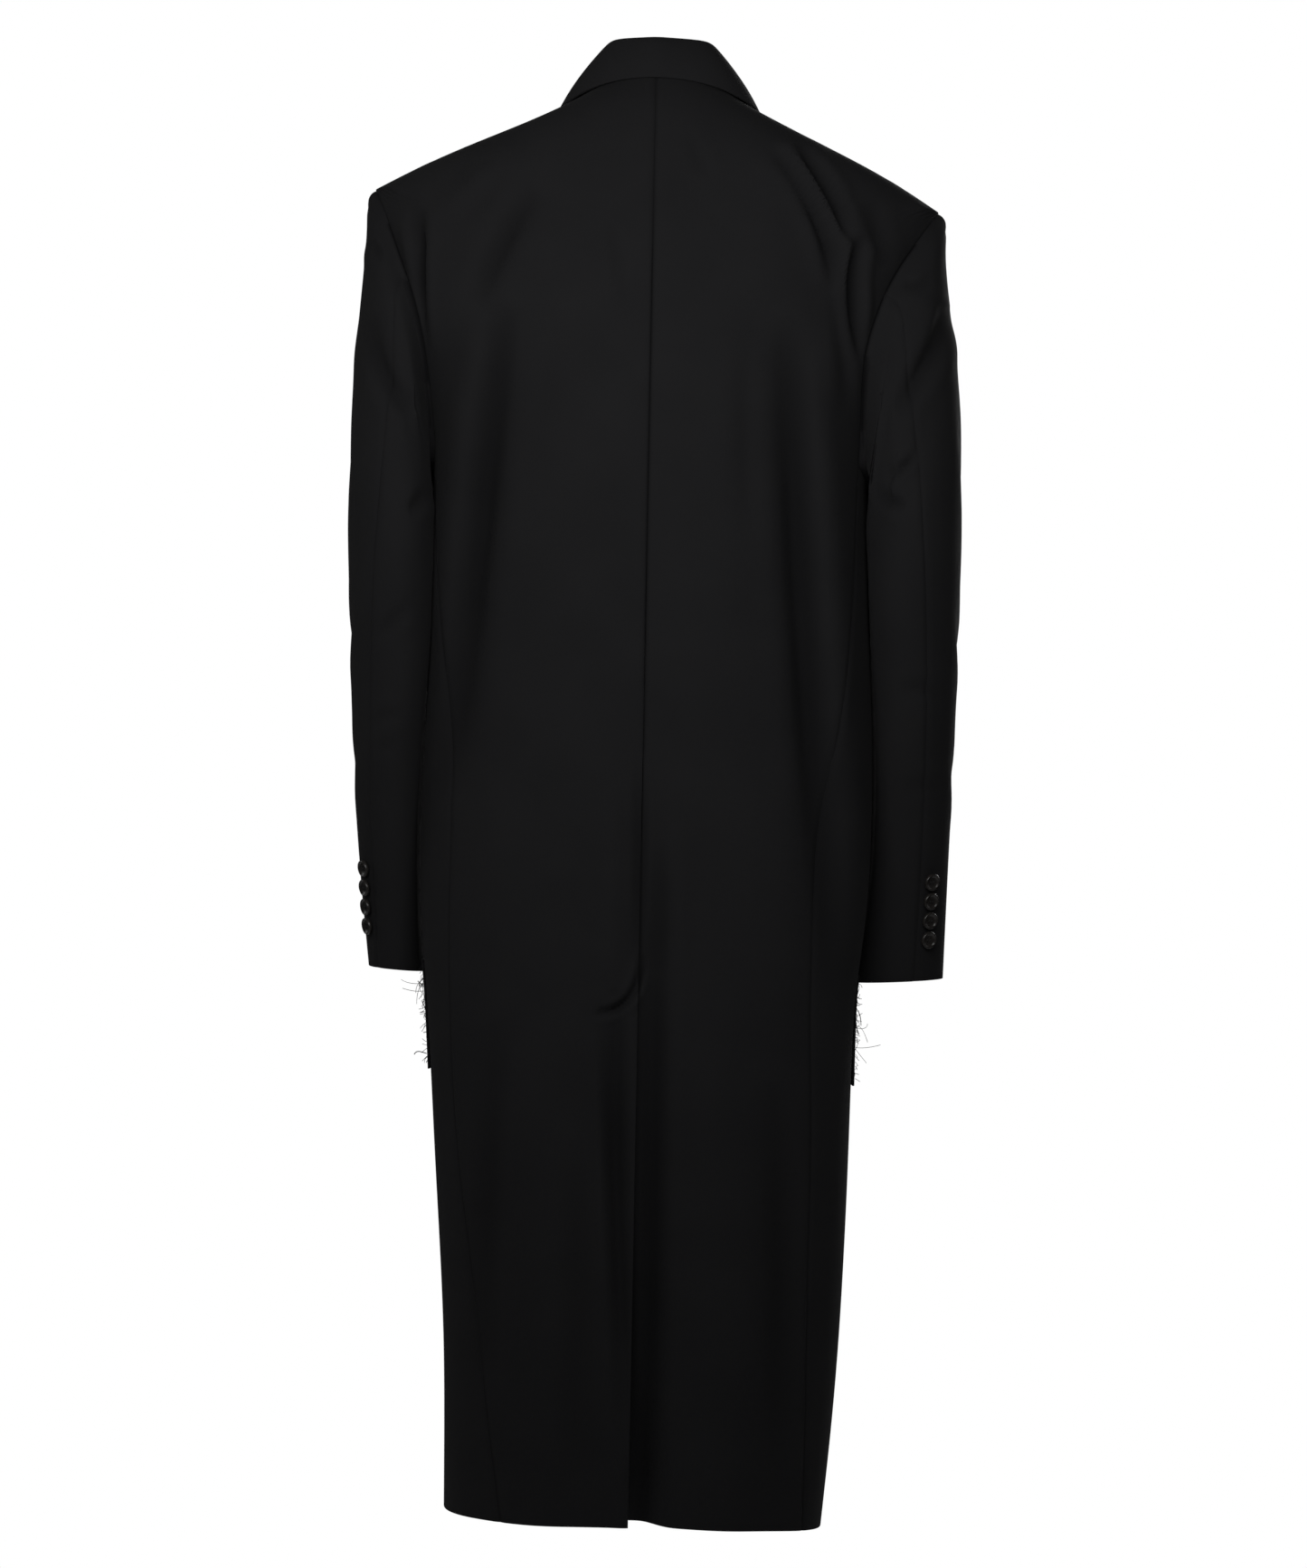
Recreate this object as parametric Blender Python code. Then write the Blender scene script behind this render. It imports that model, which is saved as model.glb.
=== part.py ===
"""A long tailored coat, worn and hollow, as the panels that a tailor cuts and sews.

The coat faces -Y, so its centre back is at +Y. +X is the wearer's left and +Z is up.
The origin lies midway between the neck ends of the shoulder seams, where it is worn.

The body is a family of rings. A ring is named by its distance up from the hem, along the
side and then along the shoulder seam, and a point on it by an angle from the centre back.
Each body panel is a stretch of those rings, and each sleeve is a family of rings of its own
that starts on the armhole which the body panels leave.
"""

import math

import bmesh
import bpy
import numpy as np

# Cloth
WALL = 0.002
SEAM = 0.0003
COLLAR_WALL = 0.0018

# Heights along the rings, from the hem up
VENT_TOP = 0.455
BREAK_UP = 0.830
RIGHT_BREAK_UP = 0.905
ARMHOLE_UP = 0.925
TIP_UP = 1.155
NECK_UP = 1.345

# Overlaps: how deep the lower layer sinks, over which width, and how far it reaches
UNDERLAP_INSET = 0.0055
UNDERLAP_STEP = 0.012
UNDERLAP_EDGE = 0.006
UNDERLAP_REACH = 0.040
# Folds fade out towards the side and the shoulder seam, by the cosine of the ring angle
SEAM_FADE = 0.25
DIP_WIDTH = 0.028
FRONT_LAP_REACH = 0.033
FRONT_LAP_END = 0.96

# The scoop of the armhole's bottom, and the sleeve's spring from the armhole
SCOOP = 0.020
SCOOP_POWER = 6
SPRING = 0.005
SPRING_TURN = 0.60

# Mesh steps
SKIRT_STEPS = 12
ARMHOLE_STEPS = 9
SHOULDER_STEPS = 5
BACK_STEPS = 17
UNDERLAP_STEPS = 3
SIDE_STEPS = 7
FRONT_STEPS = 14
LAPEL_STEPS = 11
LAPEL_ACROSS = 5
COLLAR_STEPS = 28
BOW_STEPS = 16
SMALL = 0.002

LEFT = 1
RIGHT = -1
SIDES = {LEFT: "left", RIGHT: "right"}

# Cloth and button finishes: colour, roughness
BLACK_WOOL = ((0.012, 0.012, 0.013, 1.0), 0.85)
BLACK_HORN = ((0.010, 0.010, 0.011, 1.0), 0.35)


def table(columns, rows):
    """A short table, as one array of numbers for each named column."""
    values = np.array(rows, float)
    return {name: values[:, place] for place, name in enumerate(columns.split())}


def read(data, column, at):
    """A column's value at any place along the table's first column.

    The curve is smooth, goes through every row and never overshoots its rows.
    """
    key = next(iter(data))
    x = data[key]
    y = data[column]
    step = np.diff(x)
    slope = np.diff(y) / step
    tangent = np.zeros(len(x))
    tangent[0] = slope[0]
    tangent[-1] = slope[-1]
    for i in range(1, len(x) - 1):
        if slope[i - 1] * slope[i] > 0:
            tangent[i] = 2 * slope[i - 1] * slope[i] / (slope[i - 1] + slope[i])
    at = np.clip(np.asarray(at, float), x[0], x[-1])
    k = np.clip(np.searchsorted(x, at, side="right") - 1, 0, len(x) - 2)
    h = step[k]
    s = (at - x[k]) / h
    rise = tangent[k] * h * s * (1 - s) ** 2 + tangent[k + 1] * h * s * s * (s - 1)
    return y[k] * (1 + 2 * s) * (1 - s) ** 2 + y[k + 1] * s * s * (3 - 2 * s) + rise


def ease(value, start, end):
    """0 at start, 1 at end, with a soft step between."""
    s = np.clip((value - start) / (end - start), 0, 1)
    return s * s * (3 - 2 * s)


# Rings of the body. Widths are from the centre line to the side, depths from the side seam.
BODY = table(
    "up left right left_z right_z back back_z front front_z square",
    [
        (0.000, 0.164, 0.170, -1.236, -1.247, 0.114, -1.236, -0.128, -1.238, 2.5),
        (0.140, 0.166, 0.182, -1.097, -1.109, 0.116, -1.102, -0.130, -1.100, 2.5),
        (0.300, 0.177, 0.188, -0.937, -0.947, 0.119, -0.942, -0.132, -0.940, 2.5),
        (0.460, 0.188, 0.191, -0.777, -0.784, 0.121, -0.781, -0.132, -0.780, 2.5),
        (0.500, 0.193, 0.196, -0.737, -0.744, 0.119, -0.741, -0.130, -0.740, 2.5),
        (0.560, 0.197, 0.203, -0.678, -0.684, 0.115, -0.681, -0.127, -0.680, 2.5),
        (0.640, 0.195, 0.204, -0.598, -0.603, 0.110, -0.601, -0.124, -0.600, 2.5),
        (0.790, 0.189, 0.198, -0.448, -0.452, 0.111, -0.450, -0.120, -0.450, 2.5),
        (0.925, 0.190, 0.193, -0.313, -0.316, 0.121, -0.315, -0.122, -0.325, 2.5),
        (1.030, 0.219, 0.209, -0.206, -0.212, 0.125, -0.210, -0.118, -0.240, 2.5),
        (1.100, 0.239, 0.232, -0.134, -0.145, 0.119, -0.140, -0.110, -0.190, 2.3),
        (1.130, 0.2450, 0.2480, -0.100, -0.111, 0.115, -0.112, -0.107, -0.170, 2.2),
        (1.155, 0.2460, 0.2520, -0.076, -0.087, 0.109, -0.087, -0.102, -0.155, 2.15),
        (1.185, 0.2180, 0.2260, -0.061, -0.070, 0.103, -0.065, -0.098, -0.138, 2.5),
        (1.215, 0.1895, 0.1970, -0.048, -0.055, 0.096, -0.044, -0.092, -0.122, 2.7),
        (1.270, 0.1360, 0.1420, -0.028, -0.031, 0.083, -0.012, -0.080, -0.095, 2.5),
        (1.315, 0.0960, 0.1030, -0.012, -0.012, 0.072, 0.009, -0.066, -0.072, 2.3),
        (1.345, 0.0740, 0.0810, 0.000, 0.001, 0.062, 0.022, -0.055, -0.055, 2.1),
    ],
)

# The back panel's outer edge: side back seam, then armhole, out to the shoulder tip.
BACK_EDGE = table(
    "up left right",
    [
        (0.000, 0.110, 0.152),
        (0.085, 0.123, 0.152),
        (0.190, 0.137, 0.151),
        (0.307, 0.153, 0.152),
        (0.410, 0.163, 0.152),
        (0.540, 0.1675, 0.156),
        (0.640, 0.1695, 0.162),
        (0.715, 0.1750, 0.170),
        (0.805, 0.179, 0.180),
        (0.925, 0.1865, 0.184),
        (1.005, 0.1945, 0.184),
        (1.060, 0.207, 0.196),
        (1.100, 0.222, 0.213),
        (1.130, 0.2345, 0.2355),
        (1.155, 0.2460, 0.2520),
    ],
)

# The front panel's outer edge: side front seam, then armhole, out to the shoulder tip.
FRONT_EDGE = table(
    "up left right",
    [
        (0.000, 0.140, 0.144),
        (0.300, 0.152, 0.158),
        (0.640, 0.160, 0.162),
        (0.925, 0.172, 0.172),
        (1.005, 0.176, 0.176),
        (1.060, 0.190, 0.191),
        (1.100, 0.210, 0.212),
        (1.130, 0.2305, 0.2350),
        (1.155, 0.2460, 0.2520),
    ],
)

# The front's inner edge: past the centre front up to the break, then the roll line.
FRONT_LAP = table(
    "up reach",
    [
        (0.000, -0.030),
        (0.810, -0.030),
        (0.900, 0.004),
        (1.000, 0.026),
        (1.100, 0.042),
        (1.215, 0.054),
        (1.345, 0.062),
    ],
)

# How far the right back sinks beside the vent and its seam.
VENT_DIP = table(
    "up depth",
    [
        (0.000, 0.036),
        (0.150, 0.022),
        (0.300, 0.010),
        (0.455, 0.004),
        (0.700, 0.003),
        (0.900, 0.000),
    ],
)

# Drape folds, each on a smooth bow from its start by its middle to its end. Below 0 is a trough.
FOLD_COLUMNS = "start_x start_z middle_x middle_z end_x end_z width depth"
BACK_FOLDS = table(
    FOLD_COLUMNS,
    [
        (-0.104, -0.050, -0.139, -0.095, -0.168, -0.135, 0.022, 0.0050),
        (-0.128, -0.100, -0.146, -0.145, -0.160, -0.195, 0.020, -0.0060),
        (0.114, -0.090, 0.134, -0.140, 0.157, -0.200, 0.021, -0.0055),
        (0.105, -0.180, 0.124, -0.370, 0.163, -0.610, 0.022, -0.0075),
        (0.140, -0.220, 0.162, -0.330, 0.172, -0.440, 0.018, 0.0035),
        (-0.101, -0.208, -0.118, -0.450, -0.161, -0.813, 0.024, -0.0075),
        (-0.140, -0.260, -0.152, -0.420, -0.165, -0.560, 0.016, 0.0040),
        (0.026, -0.800, 0.022, -0.900, 0.006, -1.120, 0.010, -0.0030),
        (0.030, -0.560, 0.024, -0.680, 0.020, -0.760, 0.018, 0.0035),
        (-0.070, -0.820, -0.078, -1.000, -0.082, -1.240, 0.030, 0.0060),
        (0.085, -0.840, 0.082, -1.020, 0.078, -1.240, 0.032, 0.0050),
    ],
)
FRONT_FOLDS = table(
    FOLD_COLUMNS,
    [
        (0.150, -0.200, 0.125, -0.350, 0.120, -0.520, 0.022, -0.0060),
        (-0.152, -0.210, -0.128, -0.370, -0.118, -0.500, 0.022, -0.0060),
        (0.020, -0.450, 0.070, -0.520, 0.120, -0.560, 0.018, -0.0030),
        (-0.024, -0.450, -0.072, -0.510, -0.124, -0.540, 0.018, -0.0030),
        (0.090, -0.720, 0.096, -0.960, 0.104, -1.240, 0.030, 0.0060),
        (-0.088, -0.740, -0.098, -0.980, -0.108, -1.240, 0.030, 0.0055),
    ],
)

# Sleeve rings: a ring runs from its outer point to its inner one, and is as deep as stated.
# Keep is how much of the armhole's own shape is left, hind and fore are the seams' angles.
SLEEVE_COLUMNS = "down outer inner inner_z middle depth keep hind fore"
SLEEVES = {
    LEFT: table(
        SLEEVE_COLUMNS,
        [
            (0.012, 0.2550, 0.1900, -0.342, 0.000, 0.079, 0.74, 70, 262),
            (0.040, 0.2545, 0.1860, -0.358, 0.000, 0.083, 0.36, 76, 256),
            (0.100, 0.2595, 0.1835, -0.382, 0.001, 0.086, 0.12, 80, 246),
            (0.180, 0.2635, 0.1825, -0.416, 0.000, 0.086, 0.00, 78, 240),
            (0.280, 0.2655, 0.1825, -0.458, -0.004, 0.083, 0.00, 72, 236),
            (0.400, 0.2620, 0.1850, -0.525, -0.015, 0.076, 0.00, 64, 232),
            (0.510, 0.2580, 0.1890, -0.600, -0.033, 0.069, 0.00, 60, 230),
            (0.600, 0.2520, 0.1900, -0.682, -0.050, 0.062, 0.00, 57, 230),
            (0.687, 0.2430, 0.1890, -0.767, -0.065, 0.058, 0.00, 54, 230),
        ],
    ),
    RIGHT: table(
        SLEEVE_COLUMNS,
        [
            (0.012, 0.2615, 0.1930, -0.345, 0.000, 0.079, 0.74, 70, 262),
            (0.040, 0.2605, 0.1890, -0.361, 0.000, 0.083, 0.36, 78, 256),
            (0.100, 0.2685, 0.1880, -0.384, 0.001, 0.086, 0.12, 84, 246),
            (0.180, 0.2760, 0.1890, -0.418, 0.000, 0.086, 0.00, 84, 240),
            (0.280, 0.2785, 0.1910, -0.458, -0.004, 0.083, 0.00, 80, 236),
            (0.400, 0.2780, 0.1945, -0.512, -0.015, 0.076, 0.00, 75, 232),
            (0.500, 0.2765, 0.1975, -0.595, -0.033, 0.069, 0.00, 73, 230),
            (0.585, 0.2750, 0.1960, -0.680, -0.050, 0.062, 0.00, 72, 230),
            (0.678, 0.2735, 0.1885, -0.770, -0.065, 0.056, 0.00, 71, 230),
        ],
    ),
}
SLEEVE_SQUARE = 2.3
SLEEVE_REST = 0.0022
# Columns of the hind and fore seams, counted round the arm from the shoulder tip
HIND_COLUMN = 4
FORE_COLUMN = ARMHOLE_STEPS + SIDE_STEPS + 4
SLEEVE_ROWS = [0.012, 0.024, 0.040, 0.065, 0.100, 0.140, 0.185, 0.235, 0.280, 0.335, 0.400]
SLEEVE_ROWS_BELOW = 5
SLEEVE_FOLDS = table(
    FOLD_COLUMNS,
    [
        (-0.257, -0.202, -0.235, -0.236, -0.212, -0.262, 0.014, -0.0055),
        (-0.198, -0.150, -0.197, -0.230, -0.200, -0.345, 0.012, -0.0060),
        (-0.205, -0.345, -0.218, -0.325, -0.240, -0.306, 0.010, -0.0045),
        (0.250, -0.190, 0.234, -0.232, 0.207, -0.276, 0.014, -0.0055),
        (0.236, -0.470, 0.222, -0.460, 0.203, -0.442, 0.012, -0.0030),
        (0.238, -0.545, 0.224, -0.540, 0.210, -0.539, 0.010, -0.0025),
    ],
)

# The lapel's width from the roll line, and the height of its top edge across it.
LAPEL = table("along width", [(0.0, 0.012), (0.3, 0.046), (0.6, 0.075), (0.85, 0.090), (1.0, 0.095)])
LAPEL_TOP = table("across up", [(0.0, 1.335), (0.45, 1.274), (0.6, 1.262), (1.0, 1.246)])
LAPEL_LIFT = 0.0022
LAPEL_TIP_LIFT = 0.0012
LAPEL_ROLL = 0.0030

# The collar from centre back (0) to its front end (1): where its neck seam, fold and edge lie.
COLLAR = table(
    "along neck_angle fold_x fold_y fold_z edge_angle edge_up",
    [
        (0.00, 0, 0.000, 0.0590, 0.0555, 0, 1.3340),
        (0.25, 48, 0.036, 0.0460, 0.0545, 46, 1.3320),
        (0.50, 90, 0.0500, 0.0040, 0.0480, 90, 1.3290),
        (0.75, 113, 0.0560, -0.0270, 0.0140, 113, 1.3080),
        (1.00, 131, 0.0595, -0.0450, -0.0200, 132, 1.2880),
    ],
)
COLLAR_FOLD = 0.0045
COLLAR_LIFT = 0.0030
COLLAR_RIGHT_WIDER = 0.20
COLLAR_FALL_ROWS = [0.35, 0.70]
COLLAR_BOW = 0.0022

# Buttons: dish and rim of a turned button, radius then height, as shares of radius and height
BUTTON_PROFILE = [(0.0, 0.62), (0.55, 0.62), (0.72, 1.0), (0.92, 0.9), (1.0, 0.45), (0.86, 0.0)]
BUTTON_SIDES = 10
CUFF_BUTTON_RADIUS = 0.0076
CUFF_BUTTON_HEIGHT = 0.0038
CUFF_BUTTON_FIRST = 0.038
CUFF_BUTTON_SPACING = 0.0176
CUFF_BUTTON_FROM_SEAM = 0.0095
FRONT_BUTTON_RADIUS = 0.0140
FRONT_BUTTON_HEIGHT = 0.0048
FRONT_BUTTON_RINGS = [10, 8, 6]
BUTTON_LIFT = 0.0006

# Pocket flaps: height of the bottom edge, depth, and the angles of their two ends
FLAP_BOTTOM = 0.385
FLAP_DEPTH = 0.097
FLAP_BACK_ANGLE = 93
FLAP_FRONT_ANGLE = 146
FLAP_STEPS = 9
FLAP_ROWS = 6
FLAP_LIFT = 0.0006
FLAP_BULGE = 0.0012

# Frayed edges: count, backing strip's width and half thickness, thread lengths and taper
FRAY_STRANDS = 22
FRAY_STRIP = 0.0016
FRAY_STRIP_HALF = 0.0006
FRAY_GAP = 0.0001
FRAY_LONGEST = 0.011
FRAY_SHORTEST = 0.25
FRAY_TAPER = 0.35
FRAY_LEAN = 0.5
FRAY_SEED = 7


def fold_height(points, folds):
    """How far the drape folds push each point out of the plain surface."""
    height = np.zeros(points.shape[:-1])
    for i in range(len(folds["width"])):
        start = np.array([folds["start_x"][i], folds["start_z"][i]])
        middle = np.array([folds["middle_x"][i], folds["middle_z"][i]])
        end = np.array([folds["end_x"][i], folds["end_z"][i]])
        share = np.linspace(0, 1, BOW_STEPS + 1)[:, None]
        bow = start * (1 - share) * (1 - 2 * share) + middle * 4 * share * (1 - share)
        bow = bow + end * share * (2 * share - 1)
        flat = points[..., [0, 2]]
        away = np.full(points.shape[:-1], 9.0)
        for near, far in zip(bow[:-1], bow[1:]):
            run = far - near
            along = np.clip(((flat - near) @ run) / (run @ run), 0, 1)
            away = np.minimum(away, np.linalg.norm(flat - near - along[..., None] * run, axis=-1))
        height += folds["depth"][i] * np.exp(-((away / folds["width"][i]) ** 2))
    return height


def angle_at(side, reach, up):
    """The ring angle at which the cloth is this far out from the centre line."""
    square = read(BODY, "square", up)
    share = np.clip(np.abs(reach) / read(BODY, SIDES[side], up), 0, 0.99999) ** square
    return np.sign(reach) * np.arctan((share / (1 - share)) ** (1 / square))


def bare_body(side, angle, up):
    """Points of the rings without their folds."""
    square = read(BODY, "square", up)
    across = np.sin(angle)
    along = np.cos(angle)
    reach = (np.abs(across) ** square + np.abs(along) ** square) ** (-1 / square)
    behind = along > 0
    depth = np.where(behind, read(BODY, "back", up), read(BODY, "front", up))
    end_z = np.where(behind, read(BODY, "back_z", up), read(BODY, "front_z", up))
    side_z = read(BODY, SIDES[side] + "_z", up)
    share = np.abs(along) * reach
    x = side * read(BODY, SIDES[side], up) * across * reach
    return np.stack([x, depth * share, side_z + (end_z - side_z) * share**2], axis=-1)


def bare_normal(side, angle, up):
    """The outward direction of the plain rings, kept off the ends of their tables."""
    up = np.clip(up, SMALL, NECK_UP - SMALL)
    turn = bare_body(side, angle + SMALL, up) - bare_body(side, angle - SMALL, up)
    rise = bare_body(side, angle, up + SMALL) - bare_body(side, angle, up - SMALL)
    normal = np.cross(rise, turn) * side
    return normal / np.linalg.norm(normal, axis=-1, keepdims=True)


def body(side, angle, up):
    """Points of the cloth's outer face, with its folds, its vent and its overlaps."""
    angle, up = np.broadcast_arrays(np.asarray(angle, float), np.asarray(up, float))
    points = bare_body(side, angle, up)
    own = points[..., 0] * side
    behind = np.cos(angle) > 0
    height = np.where(behind, fold_height(points, BACK_FOLDS), fold_height(points, FRONT_FOLDS))
    height = height * ease(np.abs(np.cos(angle)), 0, SEAM_FADE)
    if side == RIGHT:
        beside = np.exp(-((np.maximum(own, 0) / DIP_WIDTH) ** 2))
        under = ease(own, UNDERLAP_STEP, SMALL) * ease(up, VENT_TOP + 0.065, VENT_TOP + 0.030)
        height_back = height - read(VENT_DIP, "depth", up) * beside - UNDERLAP_INSET * under
        lapped = ease(own, FRONT_LAP_REACH + 0.009, FRONT_LAP_REACH)
        lapped = lapped * ease(up, FRONT_LAP_END, FRONT_LAP_END - 0.06)
        height = np.where(behind, height_back, height - UNDERLAP_INSET * lapped)
    return points + height[..., None] * bare_normal(side, angle, up)


def body_normal(side, angle, up):
    """The outward direction of the cloth's outer face."""
    up = np.clip(up, SMALL, NECK_UP - SMALL)
    turn = body(side, angle + SMALL, up) - body(side, angle - SMALL, up)
    rise = body(side, angle, up + SMALL) - body(side, angle, up - SMALL)
    normal = np.cross(rise, turn) * side
    return normal / np.linalg.norm(normal, axis=-1, keepdims=True)


def trim(grid, start=0.0, end=0.0, axis=1):
    """Pull the first and last lines of a grid in by a distance, for the gap at a seam."""
    grid = np.moveaxis(grid.copy(), axis, 0)
    for edge, neighbour, distance in ((0, 1, start), (-1, -2, end)):
        step = grid[neighbour] - grid[edge]
        grid[edge] += step / np.linalg.norm(step, axis=-1, keepdims=True) * distance
    return np.moveaxis(grid, 0, axis)


def finish(name, finish_values):
    """A plain material with a colour and a roughness."""
    material = bpy.data.materials.new(name)
    material.use_nodes = True
    shader = material.node_tree.nodes["Principled BSDF"]
    shader.inputs["Base Color"].default_value = finish_values[0]
    shader.inputs["Roughness"].default_value = finish_values[1]
    return material


def add_object(name, vertices, faces, finish_values):
    """An object from points and faces, smooth but for its sharp edges."""
    mesh = bpy.data.meshes.new(name)
    mesh.from_pydata([tuple(v) for v in vertices], [], faces)
    work = bmesh.new()
    work.from_mesh(mesh)
    bmesh.ops.recalc_face_normals(work, faces=work.faces)
    work.to_mesh(mesh)
    work.free()
    mesh.materials.append(finish(name, finish_values))
    mesh.shade_smooth()
    mesh.set_sharp_from_angle(angle=math.radians(40))
    new = bpy.data.objects.new(name, mesh)
    bpy.context.collection.objects.link(new)
    return new


def cloth(name, outer, inner):
    """A wall between an outer and an inner grid of points, closed along its four edges."""
    rows, columns = outer.shape[:2]
    vertices = np.concatenate([outer.reshape(-1, 3), inner.reshape(-1, 3)])
    half = rows * columns
    faces = []
    for r in range(rows - 1):
        for c in range(columns - 1):
            a = r * columns + c
            quad = (a, a + 1, a + columns + 1, a + columns)
            faces.append(quad)
            faces.append(tuple(half + v for v in reversed(quad)))
    rim = list(range(columns))
    rim += [r * columns + columns - 1 for r in range(1, rows)]
    rim += [(rows - 1) * columns + c for c in range(columns - 2, -1, -1)]
    rim += [r * columns for r in range(rows - 2, 0, -1)]
    for a, b in zip(rim, rim[1:] + rim[:1]):
        faces.append((b, a, half + a, half + b))
    return add_object(name, vertices, faces, BLACK_WOOL)


def ring_heights():
    """The rings that carry points, from the hem to the neck."""
    skirt = np.linspace(0, ARMHOLE_UP, SKIRT_STEPS + 1)
    share = np.linspace(0, 1, ARMHOLE_STEPS + 1)[1:]
    share = (share + np.sin(share * math.pi / 2)) / 2
    armhole = ARMHOLE_UP + (TIP_UP - ARMHOLE_UP) * share
    shoulder = np.linspace(TIP_UP, NECK_UP, SHOULDER_STEPS + 1)[1:]
    return np.concatenate([skirt, armhole, shoulder])


UPS = ring_heights()
TIP_ROW = SKIRT_STEPS + ARMHOLE_STEPS


def edge_angle(side, edge, up):
    """The angle of a panel's outer edge: a seam, then the armhole, then the shoulder seam."""
    angle = angle_at(side, read(edge, SIDES[side], up), up)
    return np.where(up >= TIP_UP - 1e-6, math.pi / 2, angle)


def panel(name, side, angles, ups, start_gap, end_gap, top_gap=0.0):
    """A body panel from its grid of angles and heights."""
    outer = body(side, angles, ups)
    normals = body_normal(side, angles, ups)
    outer = trim(outer, start_gap, end_gap, axis=1)
    outer = trim(outer, 0.0, top_gap, axis=0)
    return cloth(name, outer, outer - normals * WALL)


def back_angles(side, ups):
    """Angles across a back, from its centre edge to its outer edge."""
    outer = edge_angle(side, BACK_EDGE, ups)[:, None]
    share = np.linspace(0, 1, BACK_STEPS + 1)[None, :]
    if side == LEFT:
        return outer * share
    inner = angle_at(side, UNDERLAP_EDGE, ups)[:, None]
    main = inner + (outer - inner) * share
    lap = -UNDERLAP_REACH * ease(ups, VENT_TOP + 0.030, VENT_TOP)
    laps = []
    for step in range(UNDERLAP_STEPS):
        reach = lap + (UNDERLAP_EDGE - lap) * step / UNDERLAP_STEPS
        laps.append(angle_at(side, reach, ups))
    return np.concatenate([np.stack(laps, axis=1), main], axis=1)


def make_back(side):
    ups = UPS[:, None]
    angles = back_angles(side, UPS)
    return panel("back_" + SIDES[side], side, angles, ups, SEAM / 2, SEAM / 2)


def side_grid(side):
    """Angles and heights across a side body, whose top edge is the bottom of the armhole."""
    rows = UPS[: SKIRT_STEPS + 1]
    start = edge_angle(side, BACK_EDGE, rows)[:, None]
    end = math.pi - edge_angle(side, FRONT_EDGE, rows)[:, None]
    share = np.linspace(0, 1, SIDE_STEPS + 1)[None, :]
    scoop = SCOOP * np.sin(math.pi * share) * (rows[:, None] / ARMHOLE_UP) ** SCOOP_POWER
    return start + (end - start) * share, rows[:, None] - scoop


def make_side(side):
    angles, ups = side_grid(side)
    return panel("side_" + SIDES[side], side, angles, ups, SEAM / 2, SEAM / 2, SEAM / 2)


def front_angles(side, ups):
    """Angles across a front, from its outer edge to its free edge or its roll line."""
    outer = math.pi - edge_angle(side, FRONT_EDGE, ups)[:, None]
    inner = math.pi - angle_at(side, read(FRONT_LAP, "reach", ups), ups)[:, None]
    share = np.linspace(0, 1, FRONT_STEPS + 1)[None, :]
    return outer + (inner - outer) * share


def make_front(side):
    ups = UPS[:, None]
    angles = front_angles(side, UPS)
    return panel("front_" + SIDES[side], side, angles, ups, SEAM / 2, 0.0)


def front_point(side, reach, up):
    """A point of the front and its outward direction, this far from the centre line."""
    angle = math.pi - angle_at(side, reach, up)
    return body(side, angle, up), body_normal(side, angle, up)


def make_lapel(side):
    """The part of the front that turns back over it from the roll line."""
    start = BREAK_UP if side == LEFT else RIGHT_BREAK_UP
    across = np.linspace(0, 1, LAPEL_ACROSS + 1)[None, :]
    along = np.linspace(0, 1, LAPEL_STEPS + 1)[:, None]
    top = read(LAPEL_TOP, "up", across)
    ups = start + (top - start) * along
    reach = read(FRONT_LAP, "reach", ups) + across * read(LAPEL, "width", along)
    points, normals = front_point(side, reach, ups)
    rise = LAPEL_LIFT + LAPEL_ROLL * np.sin(math.pi * across) ** 0.7
    rise = rise + LAPEL_TIP_LIFT * (across * along) ** 2
    under = points + normals * rise[..., None]
    return cloth("lapel_" + SIDES[side], under + normals * WALL, under)


def armhole(side):
    """The loop that the body panels leave, and for each point its outward directions.

    It runs from the shoulder tip down the back, along the side body and up the front.
    """
    rows = UPS[SKIRT_STEPS: TIP_ROW + 1][::-1]
    back = edge_angle(side, BACK_EDGE, rows)
    side_angles, side_ups = side_grid(side)
    front = math.pi - edge_angle(side, FRONT_EDGE, rows[::-1])
    angles = np.concatenate([back, side_angles[-1, 1:-1], front[:-1]])
    ups = np.concatenate([rows, side_ups[-1, 1:-1], rows[::-1][:-1]])
    points = body(side, angles, ups)
    normals = body_normal(side, angles, ups)
    tangent = np.roll(points, -1, axis=0) - np.roll(points, 1, axis=0)
    away = np.cross(tangent, normals) * side
    away /= np.linalg.norm(away, axis=-1, keepdims=True)
    return points, normals, away


def sleeve_levels(side):
    """The sleeve's rings that carry points, from below the armhole to the cuff."""
    end = SLEEVES[side]["down"][-1]
    below = np.linspace(SLEEVE_ROWS[-1], end, SLEEVE_ROWS_BELOW + 1)[1:]
    return np.concatenate([SLEEVE_ROWS, below])


def round_the_arm(points):
    """The angle of each armhole point round the sleeve, by its share of the armhole's length."""
    loop = np.concatenate([points, points[:1]])
    lengths = np.concatenate([[0], np.cumsum(np.linalg.norm(np.diff(loop, axis=0), axis=-1))])
    lowest = int(np.argmin(points[:, 2]))
    angles = np.interp(lengths[:-1], [0, lengths[lowest], lengths[-1]], [0, 180, 360])
    return angles, lowest


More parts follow.
